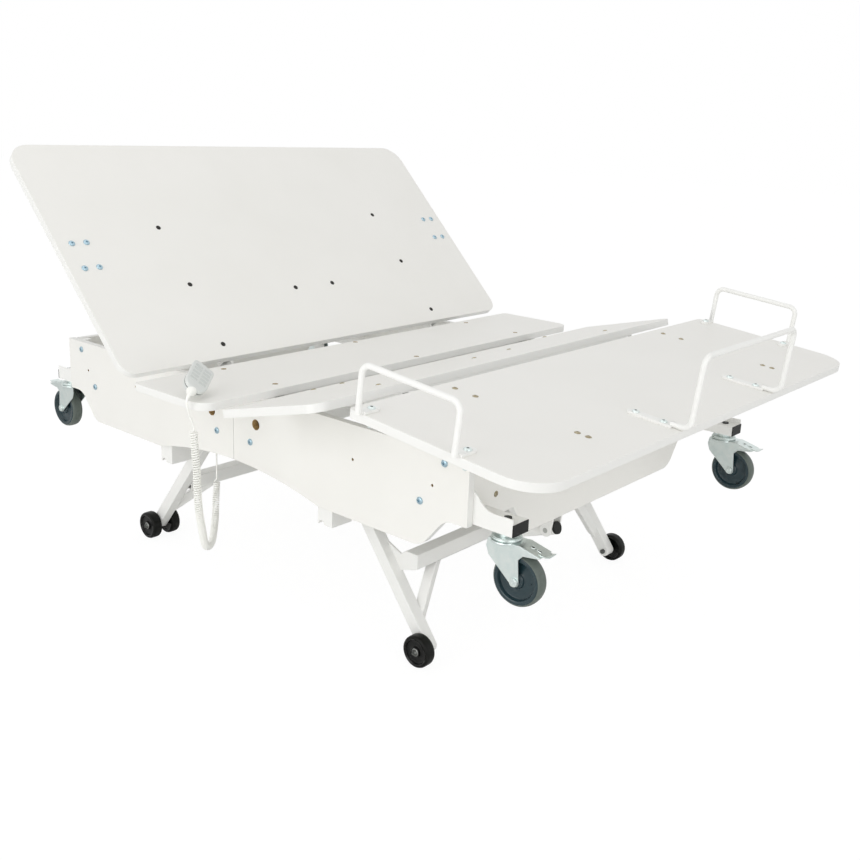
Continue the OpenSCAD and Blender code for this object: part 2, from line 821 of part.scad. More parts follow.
// Pins of the deck hinges and of the leg pivots, fixed in the base frame
module hinge_pins() {
    back_x = back_tube_x - deck_tube / 2 - lug_t - side_gap - ear_t;
    thigh_x = thigh_tube_x - deck_tube / 2 - lug_t - side_gap - ear_t;
    clevis_in = leg_x - leg_side / 2 - clevis_t - side_gap;
    clevis_out = leg_x + leg_side / 2 + clevis_t + side_gap;
    torque_in = crank_in - side_gap - clevis_t;
    reach = tube_r + act_fork_gap + act_fork_t;
    strut_reach = tube_r + act_fork_t;
    color("#A8AFB2") {
        both_sides() {
            bar_x(pin_r, back_x, back_x + ear_t + side_gap + lug_t, hip_y, hinge_z);
            bar_x(pin_r, thigh_x, thigh_x + ear_t + side_gap + lug_t, thigh_y, hinge_z);
        }
        bar_x(act_pin_r, back_lever_x - reach, back_lever_x + reach, back_act_y, deck_act_z);
        bar_x(act_pin_r, thigh_lever_x - reach, thigh_lever_x + reach, thigh_act_y, deck_act_z);
        for (e = [HEAD, FOOT]) at_end(e) at_side(crank_side(e)) {
            bar_x(leg_pin_r, torque_in, clevis_out, pivot_out, pivot_z);
            mirror([1, 0, 0]) bar_x(leg_pin_r, clevis_in, clevis_out, pivot_out, pivot_z);
            bar_x(act_pin_r, leg_act_x - reach, leg_act_x + reach, -leg_act_back, leg_act_z);
        }
        at_end(FOOT) bar_x(act_pin_r, -strut_x - strut_reach, -strut_x + strut_reach, strut_out, strut_z);
    }
}

module back_board() {
    color("#F1F0EC") back_top()
        board(back_len, back_low_r, back_top_r, concat(back_fixes(), back_mounts()));
}

// Hinge lug at the inner side of a deck tube, which runs away from the hinge line
module deck_lug(tube_x_mid, first, dir) {
    x0 = tube_x_mid - deck_tube / 2 - lug_t;
    root = first + dir * deck_tube;
    slab_x(x0, lug_t)
        if (dir > 0) eye_plate([root, tube_low], [root, tube_top], [0, 0], lug_r, pin_r + pin_gap);
        else eye_plate([root, tube_top], [root, tube_low], [0, 0], lug_r, pin_r + pin_gap);
    slab_x(x0, lug_t) translate([dir > 0 ? first : first - deck_tube * 3, tube_low])
        square([deck_tube * 3, deck_tube]);
}

// Lever that an actuator pushes, in the frame of its deck section
module lever(x, turn, dir, cross_y) {
    tip = lever_len * [-dir * sin(turn), -cos(turn)];
    x0 = x + act_rod_r + side_gap;
    slab_x(x0, lever_t) {
        strip([cross_y, tube_low], tip, lever_w - 2 * eye_bite);
        translate(tip) circle(r = lever_w / 2, $fn = smooth);
    }
    bar_x(lever_pin_r, x - act_eye_t / 2 - side_gap, x0 + lever_t / 2, tip[0], tip[1]);
}

module back_frame() {
    run = back_len * back_run_share;
    low_y = back_setback + back_len * back_mid_share;
    color("#F1F1EE") on_back() {
        both_sides() {
            tube_y(
                [back_tube_x - deck_tube / 2, back_setback, tube_low],
                [back_tube_x + deck_tube / 2, back_setback + run, tube_top]
            );
            deck_lug(back_tube_x, back_setback, 1);
            translate([side_mount_x, back_setback + side_mount_share * back_len, tube_top - side_mount_t / 2])
                cube([side_mount_w, side_mount_len, side_mount_t], center = true);
        }
        for (y = [low_y, back_setback + run - deck_tube / 2])
            tube_x(-back_tube_x + deck_tube / 2, back_tube_x - deck_tube / 2, y, tube_low + deck_tube / 2, deck_tube);
        lever(back_lever_x, back_lever_turn, 1, lever_cross);
        tube_x(-back_tube_x + deck_tube / 2, back_tube_x - deck_tube / 2, lever_cross, tube_low + deck_tube / 2, deck_tube);
    }
}

module back_screws() {
    color("#2B2B2A") back_top() for (f = back_fixes()) translate([f[0], f[1], 0]) cap_screw();
    color("#9FB2BD") back_top() for (f = back_mounts()) translate([f[0], f[1], 0]) pan_screw(board_t);
}

module thigh_board() {
    color("#F1F0EC") thigh_top() board(thigh_len, thigh_head_r, thigh_foot_r, thigh_fixes());
}

module thigh_frame() {
    foot = -thigh_setback - thigh_len;
    knee_lug_x = thigh_tube_x - deck_tube / 2 - lug_t;
    color("#F1F1EE") on_thigh() {
        both_sides() {
            tube_y(
                [thigh_tube_x - deck_tube / 2, foot, tube_low],
                [thigh_tube_x + deck_tube / 2, -thigh_setback, tube_top]
            );
            deck_lug(thigh_tube_x, -thigh_setback, -1);
            slab_x(knee_lug_x, lug_t) {
                eye_plate([foot + deck_tube, tube_low], [foot + deck_tube, tube_top], [-knee_reach, 0], lug_r, pin_r - over);
                translate([foot, tube_low]) square([deck_tube * 3, deck_tube]);
            }
            bar_x(pin_r, knee_lug_x - side_gap - lug_t, knee_lug_x + lug_t / 2, -knee_reach, 0);
        }
        for (y = [-thigh_setback - deck_tube / 2, -lever_cross - deck_tube, foot + deck_tube / 2])
            tube_x(-thigh_tube_x + deck_tube / 2, thigh_tube_x - deck_tube / 2, y, tube_low + deck_tube / 2, deck_tube);
        lever(thigh_lever_x, thigh_lever_turn, -1, -lever_cross - deck_tube);
    }
}

module thigh_screws() {
    color("#2B2B2A") thigh_top() for (f = thigh_fixes()) translate([f[0], f[1], 0]) cap_screw();
}

module calf_board() {
    color("#F1F0EC") calf_top()
        board(calf_len, calf_head_r, calf_foot_r, concat(calf_fixes(), retainer_studs()));
}

module calf_frame() {
    head = -calf_setback;
    foot = -calf_setback - calf_len * calf_run_share;
    lug_x = calf_lug_x;
    color("#F1F1EE") on_calf() {
        both_sides() {
            tube_y([lug_x - deck_tube, foot, tube_low], [lug_x, head, tube_top]);
            slab_x(lug_x, lug_t) {
                eye_plate([head - deck_tube, tube_top], [head - deck_tube, tube_low], [0, 0], lug_r, pin_r + pin_gap);
                translate([head - deck_tube * 3, tube_low]) square([deck_tube * 3, deck_tube]);
            }
        }
        for (y = [head - deck_tube / 2, foot + deck_tube / 2])
            tube_x(-lug_x + deck_tube, lug_x - deck_tube, y, tube_low + deck_tube / 2, deck_tube);
    }
}

module calf_screws() {
    color("#2B2B2A") calf_top() for (f = calf_fixes()) translate([f[0], f[1], 0]) cap_screw();
    color("#9FB2BD") calf_top() for (f = retainer_studs()) translate([f[0], f[1], tab_t])
        pan_screw(board_t + tab_t + stud_out);
}

// A round-cornered hoop of rod in the X-Z plane, half wide, from low to high
module hoop(half, low, high) {
    r = rod_d / 2;
    for (s = [LEFT, RIGHT]) {
        bar_z(r, low, high - retainer_bend, s * half, 0);
        translate([s * (half - retainer_bend), 0, high - retainer_bend]) rotate([90, 0, 0])
            rotate([0, 0, s > 0 ? 0 : 90]) rotate_extrude(angle = 90, $fn = smooth)
                translate([retainer_bend, 0]) circle(r = r, $fn = fine);
    }
    bar_x(r, -half + retainer_bend, half - retainer_bend, 0, high);
}

// Quarter bend of retainer rod in the Y-Z plane, round the point (y, z)
module rod_bend(x, y, z, turn) {
    translate([x, y, z]) rotate([90, 0, 90]) rotate([0, 0, turn]) rotate_extrude(angle = 90, $fn = smooth)
        translate([retainer_bend, 0]) circle(r = rod_d / 2, $fn = fine);
}

module side_retainer(s) {
    first = retainer_share[0] * calf_len;
    last = retainer_share[1] * calf_len;
    x = deck_w / 2 + retainer_out;
    r = rod_d / 2;
    bend_z = side_retainer_h - retainer_bend;
    color("#F4F4F2") calf_top() at_side(s) {
        for (y = [first, last]) {
            bar_z(r, 0, bend_z, x, y);
            side_tab(x, y);
        }
        rod_bend(x, first + retainer_bend, bend_z, 90);
        rod_bend(x, last - retainer_bend, bend_z, 0);
        translate([x, first + retainer_bend, side_retainer_h]) rotate([-90, 0, 0])
            cylinder(r = r, h = last - first - 2 * retainer_bend, $fn = fine);
    }
}

// Flat tab from a side post inwards over the board, with a round end and a screw hole
module side_tab(x, y) {
    tab_end = deck_w / 2 - tab_len;
    neck = rod_d / 2 - over;
    difference() {
        union() {
            block([tab_end + tab_w / 2, y - tab_w / 2, 0], [deck_w / 2, y + tab_w / 2, tab_t]);
            block([deck_w / 2 - over, y - neck, 0], [x, y + neck, tab_t]);
            bar_z(tab_w / 2, 0, tab_t, tab_end + tab_w / 2, y);
        }
        bar_z(stud_r + hole_gap, -over, tab_t + over, tab_screw_x, y);
    }
}

module retainer_left() side_retainer(LEFT);
module retainer_right() side_retainer(RIGHT);

module retainer_foot() {
    r = rod_d / 2;
    post_y = calf_len + foot_post_out;
    bar_y = foot_bar_share * calf_len;
    flat_end = foot_bar_screw_share[1] * calf_len + tab_w;
    color("#F4F4F2") calf_top() {
        translate([0, post_y, r]) hoop(foot_retainer_x, retainer_bend, foot_retainer_h - r);
        for (s = [LEFT, RIGHT]) {
            difference() {
                union() {
                    block([s * foot_retainer_x - tab_w / 2, bar_y, 0], [s * foot_retainer_x + tab_w / 2, flat_end, tab_t]);
                    bar_z(tab_w / 2, 0, tab_t, s * foot_retainer_x, bar_y);
                }
                for (k = foot_bar_screw_share)
                    bar_z(stud_r + hole_gap, -over, tab_t + over, s * foot_retainer_x, k * calf_len);
            }
            translate([s * foot_retainer_x, flat_end - tab_w / 4, r]) rotate([-90, 0, 0])
                cylinder(r = r, h = post_y - retainer_bend - flat_end + tab_w / 4, $fn = fine);
            rod_bend(s * foot_retainer_x, post_y - retainer_bend, r + retainer_bend, -90);
        }
    }
}

// Leg frame: two square tubes, the cross tube between them, braces and the actuator's lug
module leg_frame(e, tube_out, tube_z) {
    top = [pivot_out, pivot_z];
    hub = [hub_out, hub_z];
    in_x = leg_x - leg_side / 2;
    half = leg_side / 2;
    along = (hub - top) / norm(hub - top);
    side = [along[1], -along[0]];
    at_leg = top + along * ((top[1] - tube_z) / -along[1]);
    low = top + along * ((top[1] - brace_low_z) / -along[1]);
    mid = [tube_out, tube_z];
    color("#F4F4F2") at_end(e) {
        both_sides() {
            difference() {
                slab_x(in_x, leg_side) union() {
                    strip(top, hub, leg_side);
                    translate(top) circle(r = half, $fn = smooth);
                    translate(hub) circle(r = half, $fn = smooth);
                }
                slab_x(in_x + tube_wall, leg_side - 2 * tube_wall)
                    strip(top + along * leg_side, hub - along * leg_side, leg_side - 2 * tube_wall);
                bar_x(leg_pin_r + pin_gap, in_x - over, in_x + leg_side + over, top[0], top[1]);
                bar_x(axle_r + pin_gap, in_x - over, in_x + leg_side + over, hub[0], hub[1]);
            }
            if (norm(at_leg - mid) > leg_side) slab_x(in_x, gusset_w) polygon([
                at_leg - along * leg_side * 1.6, at_leg + (mid - at_leg) * 0.55 + [0, leg_side * 0.2],
                mid + [-leg_tube_side / 2, leg_tube_side / 2], mid + [leg_tube_side / 2, leg_tube_side / 2],
                mid + [leg_tube_side / 2, -leg_tube_side / 2], at_leg + along * leg_side * 1.6
            ]);
            leg_brace(mid, low, in_x);
        }
        tube_x(-in_x, in_x, tube_out, tube_z, leg_tube_side);
        at_side(crank_side(e)) crank(in_x);
    }
}

// Torque tube round the pivot pin, welded to one leg, with the crank that the actuator pushes
module crank(in_x) {
    top = [pivot_out, pivot_z];
    difference() {
        union() {
            bar_x(torque_r, crank_in, in_x, top[0], top[1]);
            slab_x(crank_in, lever_t) strip(top, crank_tip, lever_w);
            bar_x(lever_w / 2, crank_in, crank_in + lever_t, crank_tip[0], crank_tip[1]);
        }
        bar_x(leg_pin_r + pin_gap, crank_in - over, in_x + over, top[0], top[1]);
    }
    bar_x(act_pin_r, crank_in + lever_t / 2, leg_act_x + act_eye_t / 2 + side_gap, crank_tip[0], crank_tip[1]);
}

// Slanting brace from the cross tube out and down to the leg
module leg_brace(mid, low, in_x) {
    top3 = [in_x - brace_in, mid[0], mid[1] - leg_tube_side / 2];
    low3 = [in_x, low[0], low[1]];
    run = low3 - top3;
    flat = norm([run[0], run[1]]);
    difference() {
        translate(top3) rotate([0, atan2(flat, run[2]), atan2(run[1], run[0])])
            translate([-brace_side / 2, -brace_side / 2, -brace_side])
                cube([brace_side, brace_side, norm(run) + 2 * brace_side]);
        block([in_x, 0, 0], [in_x + brace_in, base_half, deck_z]);
        block([0, 0, mid[1] - leg_tube_side / 2], [in_x + over, base_half, deck_z]);
    }
}

module head_leg_frame() leg_frame(HEAD, head_tube_out, head_tube_z);
module foot_leg_frame() leg_frame(FOOT, foot_tube_out, foot_tube_z);

roller_out_x = leg_x + leg_side / 2 + roller_side_gap;
roller_in_x = leg_x - leg_side / 2 - roller_side_gap - roller_w;

// Floor roller, from x = 0 to its width, round the X axis
module roller() {
    rotate([0, 90, 0]) rotate_extrude($fn = smooth) {
        difference() {
            translate([axle_r + axle_gap, 0]) square([hub_z - axle_r - axle_gap, roller_w]);
            translate([roller_hub_r, -over]) square([hub_z - roller_hub_r - roller_tyre, roller_dish + over]);
            translate([roller_hub_r, roller_w - roller_dish])
                square([hub_z - roller_hub_r - roller_tyre, roller_dish + over]);
            translate([hub_z - roller_dish, -over]) square([roller_dish + over, roller_dish + over]);
            translate([hub_z - roller_dish, roller_w - roller_dish]) square([roller_dish + over, roller_dish + over]);
        }
        for (z = [roller_dish, roller_w - roller_dish])
            translate([hub_z - roller_dish, z]) circle(r = roller_dish, $fn = fine);
    }
}

module place_roller(e, s, x) {
    color("#2B2B2A") at_end(e) at_side(s) translate([x, hub_out, hub_z]) roller();
}

module head_roller_left_outer() place_roller(HEAD, LEFT, roller_out_x);
module head_roller_left_inner() place_roller(HEAD, LEFT, roller_in_x);
module head_roller_right_outer() place_roller(HEAD, RIGHT, roller_out_x);
module head_roller_right_inner() place_roller(HEAD, RIGHT, roller_in_x);
module foot_roller_left() place_roller(FOOT, LEFT, roller_out_x);
module foot_roller_right() place_roller(FOOT, RIGHT, roller_out_x);

// Button-head bolt from outside, through a roller and the leg, with a nut inside
module roller_bolt(in_x) {
    out_x = roller_out_x + roller_w + seat_gap;
    bar_x(axle_r, in_x, out_x, hub_out, hub_z);
    difference() {
        translate([out_x, hub_out, hub_z]) rotate([0, 90, 0])
            cylinder(r1 = bolt_head_r, r2 = bolt_head_r * 0.6, h = bolt_head_h, $fn = fine);
        translate([out_x + bolt_head_h / 2, hub_out, hub_z]) rotate([0, 90, 0])
            cylinder(r = axle_r * 0.7, h = bolt_head_h, $fn = 6);
    }
    translate([in_x - nut_h, hub_out, hub_z]) rotate([0, 90, 0]) cylinder(r = nut_r, h = nut_h, $fn = 6);
}

module head_roller_bolts() {
    color("#A8AFB2") at_end(HEAD) both_sides() roller_bolt(roller_in_x - seat_gap);
}

module foot_roller_bolts() {
    color("#A8AFB2") at_end(FOOT) both_sides() roller_bolt(leg_x - leg_side / 2 - seat_gap);
}

// Casters, drawn round the swivel axis with the wheel trailing along +Y
module at_caster(e, s) {
    turn = caster_turn[e == HEAD ? 0 : 1][s == RIGHT ? 0 : 1];
    at_end(e) at_side(s) translate([caster_x, caster_out, 0]) rotate([0, 0, turn]) children();
}

module fork(e, s) {
    leg_in = wheel_w / 2 + fork_gap;
    color("#B9C4C4") at_caster(e, s) {
        bar_z(stem_r, rail_z - collar_h / 2, rail_top - tube_wall, 0, 0);
        bar_z(race_r * 0.6, rail_z - collar_h, rail_z - seat_gap, 0, 0);
        bar_z(race_r, fork_top_z, fork_top_z + race_h, 0, 0);
        block([-leg_in - fork_t, -race_r, fork_top_z - fork_t], [leg_in + fork_t, race_r + caster_trail / 2, fork_top_z]);
        for (x = [-leg_in - fork_t, leg_in]) slab_x(x, fork_t) fork_shape();
        bar_x(wheel_axle_r, -leg_in - fork_t, leg_in + fork_t, caster_trail, axle_z);
        for (m = [0, 1]) mirror([m, 0, 0]) translate([leg_in + fork_t, caster_trail, axle_z]) rotate([0, 90, 0])
            cylinder(r = wheel_axle_r * 1.4, h = fork_t, $fn = 6);
    }
}

// Cheek of the fork in Y and Z: full under the race, narrowing to the axle
module fork_shape() {
    eye = fork_t * 3.4;
    waist = fork_top_z - race_r;
    c = [caster_trail, axle_z];
    polygon([
        [-race_r, fork_top_z], [-race_r * 1.12, fork_top_z - race_r * 0.6], [-race_r * 0.9, waist - race_r * 0.2],
        tangent([-race_r * 0.9, waist - race_r * 0.2], c, eye, -1), c,
        [caster_trail + eye, axle_z], [caster_trail + eye * 0.6, waist],
        [caster_trail + eye * 1.6, waist + race_r * 0.36], [pedal_in * 1.85, waist + race_r * 0.5],
        [pedal_in * 1.9, fork_top_z - race_r * 0.4], [race_r * 1.4, fork_top_z]
    ]);
    translate(c) circle(r = eye, $fn = fine);
}

module caster_fork_head_left() fork(HEAD, LEFT);
module caster_fork_head_right() fork(HEAD, RIGHT);
module caster_fork_foot_left() fork(FOOT, LEFT);
module caster_fork_foot_right() fork(FOOT, RIGHT);

// Wheel: a dished hub with a rounded tread
module wheel(e, s) {
    r = wheel_d / 2;
    half = wheel_w / 2;
    color("#5F7078") at_caster(e, s) translate([-half, caster_trail, axle_z]) rotate([0, 90, 0])
        rotate_extrude($fn = smooth) {
            difference() {
                translate([wheel_axle_r + pin_gap, 0]) square([r - wheel_axle_r - pin_gap, wheel_w]);
                translate([wheel_hub_r, -over]) square([r - wheel_tread - wheel_hub_r, wheel_dish + over]);
                translate([wheel_hub_r, wheel_w - wheel_dish]) square([r - wheel_tread - wheel_hub_r, wheel_dish + over]);
                for (z = [-over, wheel_w - wheel_dish])
                    translate([r - wheel_dish, z]) square([wheel_dish + over, wheel_dish + over]);
            }
            for (z = [wheel_dish, wheel_w - wheel_dish])
                translate([r - wheel_dish, z]) circle(r = wheel_dish, $fn = fine);
        }
}

module caster_wheel_head_left() wheel(HEAD, LEFT);
module caster_wheel_head_right() wheel(HEAD, RIGHT);
module caster_wheel_foot_left() wheel(FOOT, LEFT);
module caster_wheel_foot_right() wheel(FOOT, RIGHT);

// Brake pedal: a pressed plate between the cheeks, with a turned-up tip
module pedal(e, s) {
    half = pedal_w / 2 - fork_gap;
    inner = wheel_w / 2 + fork_gap - seat_gap;
    color("#B9C4C4") at_caster(e, s) {
        block([-inner, pedal_in, pedal_z - pedal_t], [inner, pedal_in * 1.9, pedal_z]);
        slab_x(-pedal_w / 2, pedal_w) polygon([
            [pedal_in * 1.9 + side_gap, pedal_z - pedal_t], [pedal_out, pedal_z - 2 * pedal_t],
            [pedal_out + pedal_tip, pedal_z + pedal_t], [pedal_out + pedal_tip, pedal_z + 2 * pedal_t],
            [pedal_out, pedal_z], [pedal_in * 1.9 + side_gap, pedal_z]
        ]);
        block([-half, pedal_in * 1.9 - side_gap, pedal_z - pedal_t], [half, pedal_in * 1.9 + 2 * side_gap, pedal_z]);
    }
}

module brake_pedal_head_left() pedal(HEAD, LEFT);
module brake_pedal_head_right() pedal(HEAD, RIGHT);
module brake_pedal_foot_left() pedal(FOOT, LEFT);
module brake_pedal_foot_right() pedal(FOOT, RIGHT);

// Where the levers' pins stand, as drawn
function turned(p, a) = [p[0] * cos(a) - p[1] * sin(a), p[0] * sin(a) + p[1] * cos(a)];
back_tip = [hip_y, hinge_z] + turned(lever_len * [-sin(back_lever_turn), -cos(back_lever_turn)], back_rest);
thigh_tip = [thigh_y, hinge_z] + turned(lever_len * [sin(thigh_lever_turn), -cos(thigh_lever_turn)], -thigh_rest);

// An actuator's tube and rod run from its pin at a to the lever's pin at b
module actuator_tube(x, a, b, len) {
    translate([x, a[0], a[1]]) rotate([heading(a, b), 0, 0]) difference() {
        union() {
            translate([0, act_body_start, 0]) rotate([-90, 0, 0])
                cylinder(r = tube_r, h = len - act_body_start, $fn = fine);
            block([-tube_r, 0, -act_tail_r], [tube_r, act_body_start + over, act_tail_r]);
            bar_x(act_tail_r, -tube_r, tube_r, 0, 0);
        }
        translate([0, act_body_start + tube_r, 0]) rotate([-90, 0, 0]) cylinder(r = bore_r, h = len, $fn = fine);
        bar_x(act_pin_r + pin_gap, -tube_r - over, tube_r + over, 0, 0);
    }
}

// The rod ends in a slotted eye, in which the lever's pin rises and falls as the lever turns
module actuator_rod(x, a, b, start, slot) {
    full = norm(b - a);
    translate([x, a[0], a[1]]) rotate([heading(a, b), 0, 0]) {
        translate([0, start, 0]) rotate([-90, 0, 0])
            cylinder(r = act_rod_r, h = full - start - (act_eye_r + act_eye_hole) / 2, $fn = fine);
        difference() {
            slot_bar(act_eye_r, act_eye_t / 2, full, slot);
            slot_bar(act_eye_hole, act_eye_t, full, slot);
        }
    }
}

module slot_bar(r, half_t, y, slot) {
    for (z = slot) bar_x(r, -half_t, half_t, y, z);
    block([-half_t, y - r, slot[0]], [half_t, y + r, slot[1]]);
}

back_act = [back_act_y, deck_act_z];
thigh_act = [thigh_act_y, deck_act_z];
leg_act = [-leg_act_back, leg_act_z];

module back_actuator_tube() color("#C9CCCB") actuator_tube(back_lever_x, back_act, back_tip, deck_tube_len);
module back_actuator_rod() color("#A8AFB2") actuator_rod(back_lever_x, back_act, back_tip, back_rod_start, back_slot);
module thigh_actuator_tube() color("#C9CCCB") actuator_tube(thigh_lever_x, thigh_act, thigh_tip, deck_tube_len);
module thigh_actuator_rod() color("#A8AFB2")
    actuator_rod(thigh_lever_x, thigh_act, thigh_tip, thigh_rod_start, thigh_slot);

module leg_actuator_tube(e) {
    color("#C9CCCB") at_end(e) at_side(crank_side(e)) actuator_tube(leg_act_x, leg_act, crank_tip, leg_tube_len);
}

module leg_actuator_rod(e) {
    color("#A8AFB2") at_end(e) at_side(crank_side(e)) actuator_rod(leg_act_x, leg_act, crank_tip, leg_rod_start, leg_slot);
}

module head_leg_actuator_tube() leg_actuator_tube(HEAD);
module head_leg_actuator_rod() leg_actuator_rod(HEAD);
module foot_leg_actuator_tube() leg_actuator_tube(FOOT);
module foot_leg_actuator_rod() leg_actuator_rod(FOOT);

// The handset's frame: its cord end at the origin, its length along +Y, its keys up
module on_handset() {
    translate(handset_at) rotate([0, 0, handset_turn[2]]) rotate([handset_turn[0], 0, 0])
        rotate([0, handset_turn[1], 0]) children();
}

module handset_outline(w, low, len) {
    polygon([
        [-low / 2, 0], [low / 2, 0], [w / 2, len * 0.28], [w / 2, len * 0.94], [w / 2 - handset_r, len],
        [-w / 2 + handset_r, len], [-w / 2, len * 0.94], [-w / 2, len * 0.28]
    ]);
}

module handset_shell() {
    color("#D9DCDA") on_handset() difference() {
        translate([0, 0, -handset_t]) linear_extrude(handset_t) handset_outline(handset_w, handset_low_w, handset_len);
        for (k = key_places()) translate([k[0], k[1], -key_h - key_travel - seat_gap])
            linear_extrude(handset_t) square([key_w() + 2 * seat_gap, key_d() + 2 * seat_gap], center = true);
    }
}

function key_w() = handset_w * key_w_share;
function key_d() = handset_len * key_depth_share;
function key_places() = [
    for (s = [LEFT, RIGHT], i = [0:key_rows - 1])
        [s * handset_w * 0.21, handset_len * (key_first_share + key_pitch_share * i)]
];

module handset_keys() {
    color("#C4C8C6") on_handset() for (k = key_places()) translate([k[0], k[1], -key_h])
        translate([-key_w() / 2, -key_d() / 2, 0]) cube([key_w(), key_d(), 2 * key_h]);
}

module handset_relief() {
    color("#CDD0CC") on_handset() translate([0, 0, -handset_t / 2]) rotate([90, 0, 0])
        cylinder(r1 = relief_r, r2 = cord_d / 2 + over, h = relief_len, $fn = fine);
}

// Tubes swept along points: the frame at each point follows the path's direction
function unit(v) = v / norm(v);
function dir_at(p, i) = unit(p[min(i + 1, len(p) - 1)] - p[max(i - 1, 0)]);
function side_of(d) = unit(cross(d, abs(d[2]) > 0.9 ? [0, 1, 0] : [0, 0, 1]));
function ring_at(p, i, r, n) =
    let (d = dir_at(p, i), u = side_of(d), v = cross(d, u))
    [for (k = [0:n - 1]) p[i] + r * (cos(360 * k / n) * u + sin(360 * k / n) * v)];

module sweep(p, r, n) {
    rings = len(p);
    points = [for (i = [0:rings - 1]) each ring_at(p, i, r, n)];
    sides = [for (i = [0:rings - 2], k = [0:n - 1], h = [0, 1])
        let (a = i * n + k, b = i * n + (k + 1) % n)
        h == 0 ? [a, a + n, b] : [b, a + n, b + n]];
    ends = [for (k = [1:n - 2], h = [0, 1])
        h == 0 ? [0, k, k + 1] : [(rings - 1) * n, (rings - 1) * n + k + 1, (rings - 1) * n + k]];
    polyhedron(points = points, faces = concat(sides, ends), convexity = 10);
}

// A smooth curve through the chosen points
function spline(p, t) =
    let (last = len(p) - 1, i = min(floor(t), last - 1), f = t - i,
        a = p[max(i - 1, 0)], b = p[i], c = p[i + 1], d = p[min(i + 2, last)])
    0.5 * (2 * b + f * (c - a) + f * f * (2 * a - 5 * b + 4 * c - d) + f * f * f * (3 * b - a - 3 * c + d));
function samples(p, step) = [for (i = [0:step:(len(p) - 1) + 0.0001]) spline(p, min(i, len(p) - 1))];
function lengths(q, i = 0, sum = 0) =
    i >= len(q) ? [] : concat([sum + (i > 0 ? norm(q[i] - q[i - 1]) : 0)],
        lengths(q, i + 1, sum + (i > 0 ? norm(q[i] - q[i - 1]) : 0)));

// Point of a sampled route at a distance s
function place(q, m, s, lo, hi) =
    hi - lo <= 1 ? q[lo] + (q[hi] - q[lo]) * (s - m[lo]) / (m[hi] - m[lo])
    : let (mid = floor((lo + hi) / 2)) m[mid] <= s ? place(q, m, s, mid, hi) : place(q, m, s, lo, mid);

// A frame that turns as little as possible along the sampled route
function carried(q, i, u) =
    i >= len(q) ? [] : let (d = dir_at(q, i), v = unit(u - (u * d) * d)) concat([v], carried(q, i + 1, v));

curl_route = samples(curl_points, 0.1);
curl_m = lengths(curl_route);
curl_total = curl_m[len(curl_m) - 1];
curl_frame = carried(curl_route, 0, [1, 0, 0]);
curl_steps = 8;
curl_r = (curl_d - cord_d) / 2;
curl_tail = cord_d;
curl_ramp = curl_d / 2;

// The cord's centre line: straight tails, and a helix that grows out of them
function helix_point(s) =
    let (turn = (s - curl_tail) / (curl_total - 2 * curl_tail),
        grow = min(1, max(0, min(s - curl_tail, curl_total - curl_tail - s) / curl_ramp)),
        c = place(curl_route, curl_m, s, 0, len(curl_m) - 1),
        i = max(0, min(len(curl_route) - 1, round(s / curl_total * (len(curl_route) - 1)))),
        d = dir_at(curl_route, i),
        near = curl_frame[i],
        u = unit(near - (near * d) * d),
        v = cross(d, u),
        a = 360 * curl_count * turn)
    c + curl_r * grow * (cos(a) * u + sin(a) * v);
helix = concat(
    [place(curl_route, curl_m, 0, 0, len(curl_m) - 1)],
    [for (k = [0:curl_count * curl_steps])
        helix_point(curl_tail + (curl_total - 2 * curl_tail) * k / (curl_count * curl_steps))],
    [place(curl_route, curl_m, curl_total, 0, len(curl_m) - 1)]
);

// Least gap of the curly cord to itself, between points at least half a curl apart
module report_curl_gap() {
    near = [for (i = [0:len(helix) - 1], j = [i + 5:min(i + 2 * curl_steps + 4, len(helix) - 1)])
        norm(helix[i] - helix[j])];
    echo(curl_length = curl_total, least_gap = min(near) - cord_d);
}

module handset_lead() color("#D5D7D1") sweep(lead_points, cord_d / 2, 8);

module curly_cord() {
    color("#D5D7D1") sweep(helix, cord_d / 2, 6);
    report_curl_gap();
}

module lower_lead() color("#D5D7D1") sweep(low_points, cord_d / 2, 8);

base_frame();
side_panel_head_left();
side_panel_head_right();
side_panel_foot_left();
side_panel_foot_right();
head_end_panel();
foot_end_panel();
panel_and_seat_screws();
tube_end_caps();
seat_board();
control_box();
hinge_pins();
back_board();
back_frame();
back_screws();
thigh_board();
thigh_frame();
thigh_screws();
calf_board();
calf_frame();
calf_screws();
retainer_left();
retainer_right();
retainer_foot();
head_leg_frame();
foot_leg_frame();
head_roller_bolts();
foot_roller_bolts();
head_roller_left_outer();
head_roller_left_inner();
head_roller_right_outer();
head_roller_right_inner();
foot_roller_left();
foot_roller_right();
caster_fork_head_left();
caster_fork_head_right();
caster_fork_foot_left();
caster_fork_foot_right();
caster_wheel_head_left();
caster_wheel_head_right();
caster_wheel_foot_left();
caster_wheel_foot_right();
brake_pedal_head_left();
brake_pedal_head_right();
brake_pedal_foot_left();
brake_pedal_foot_right();
back_actuator_tube();
back_actuator_rod();
thigh_actuator_tube();
thigh_actuator_rod();
head_leg_actuator_tube();
head_leg_actuator_rod();
foot_leg_actuator_tube();
foot_leg_actuator_rod();
handset_shell();
handset_keys();
handset_relief();
handset_lead();
curly_cord();
lower_lead();
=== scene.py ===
import json
import math
import bmesh
import bpy
from mathutils import Matrix, Vector


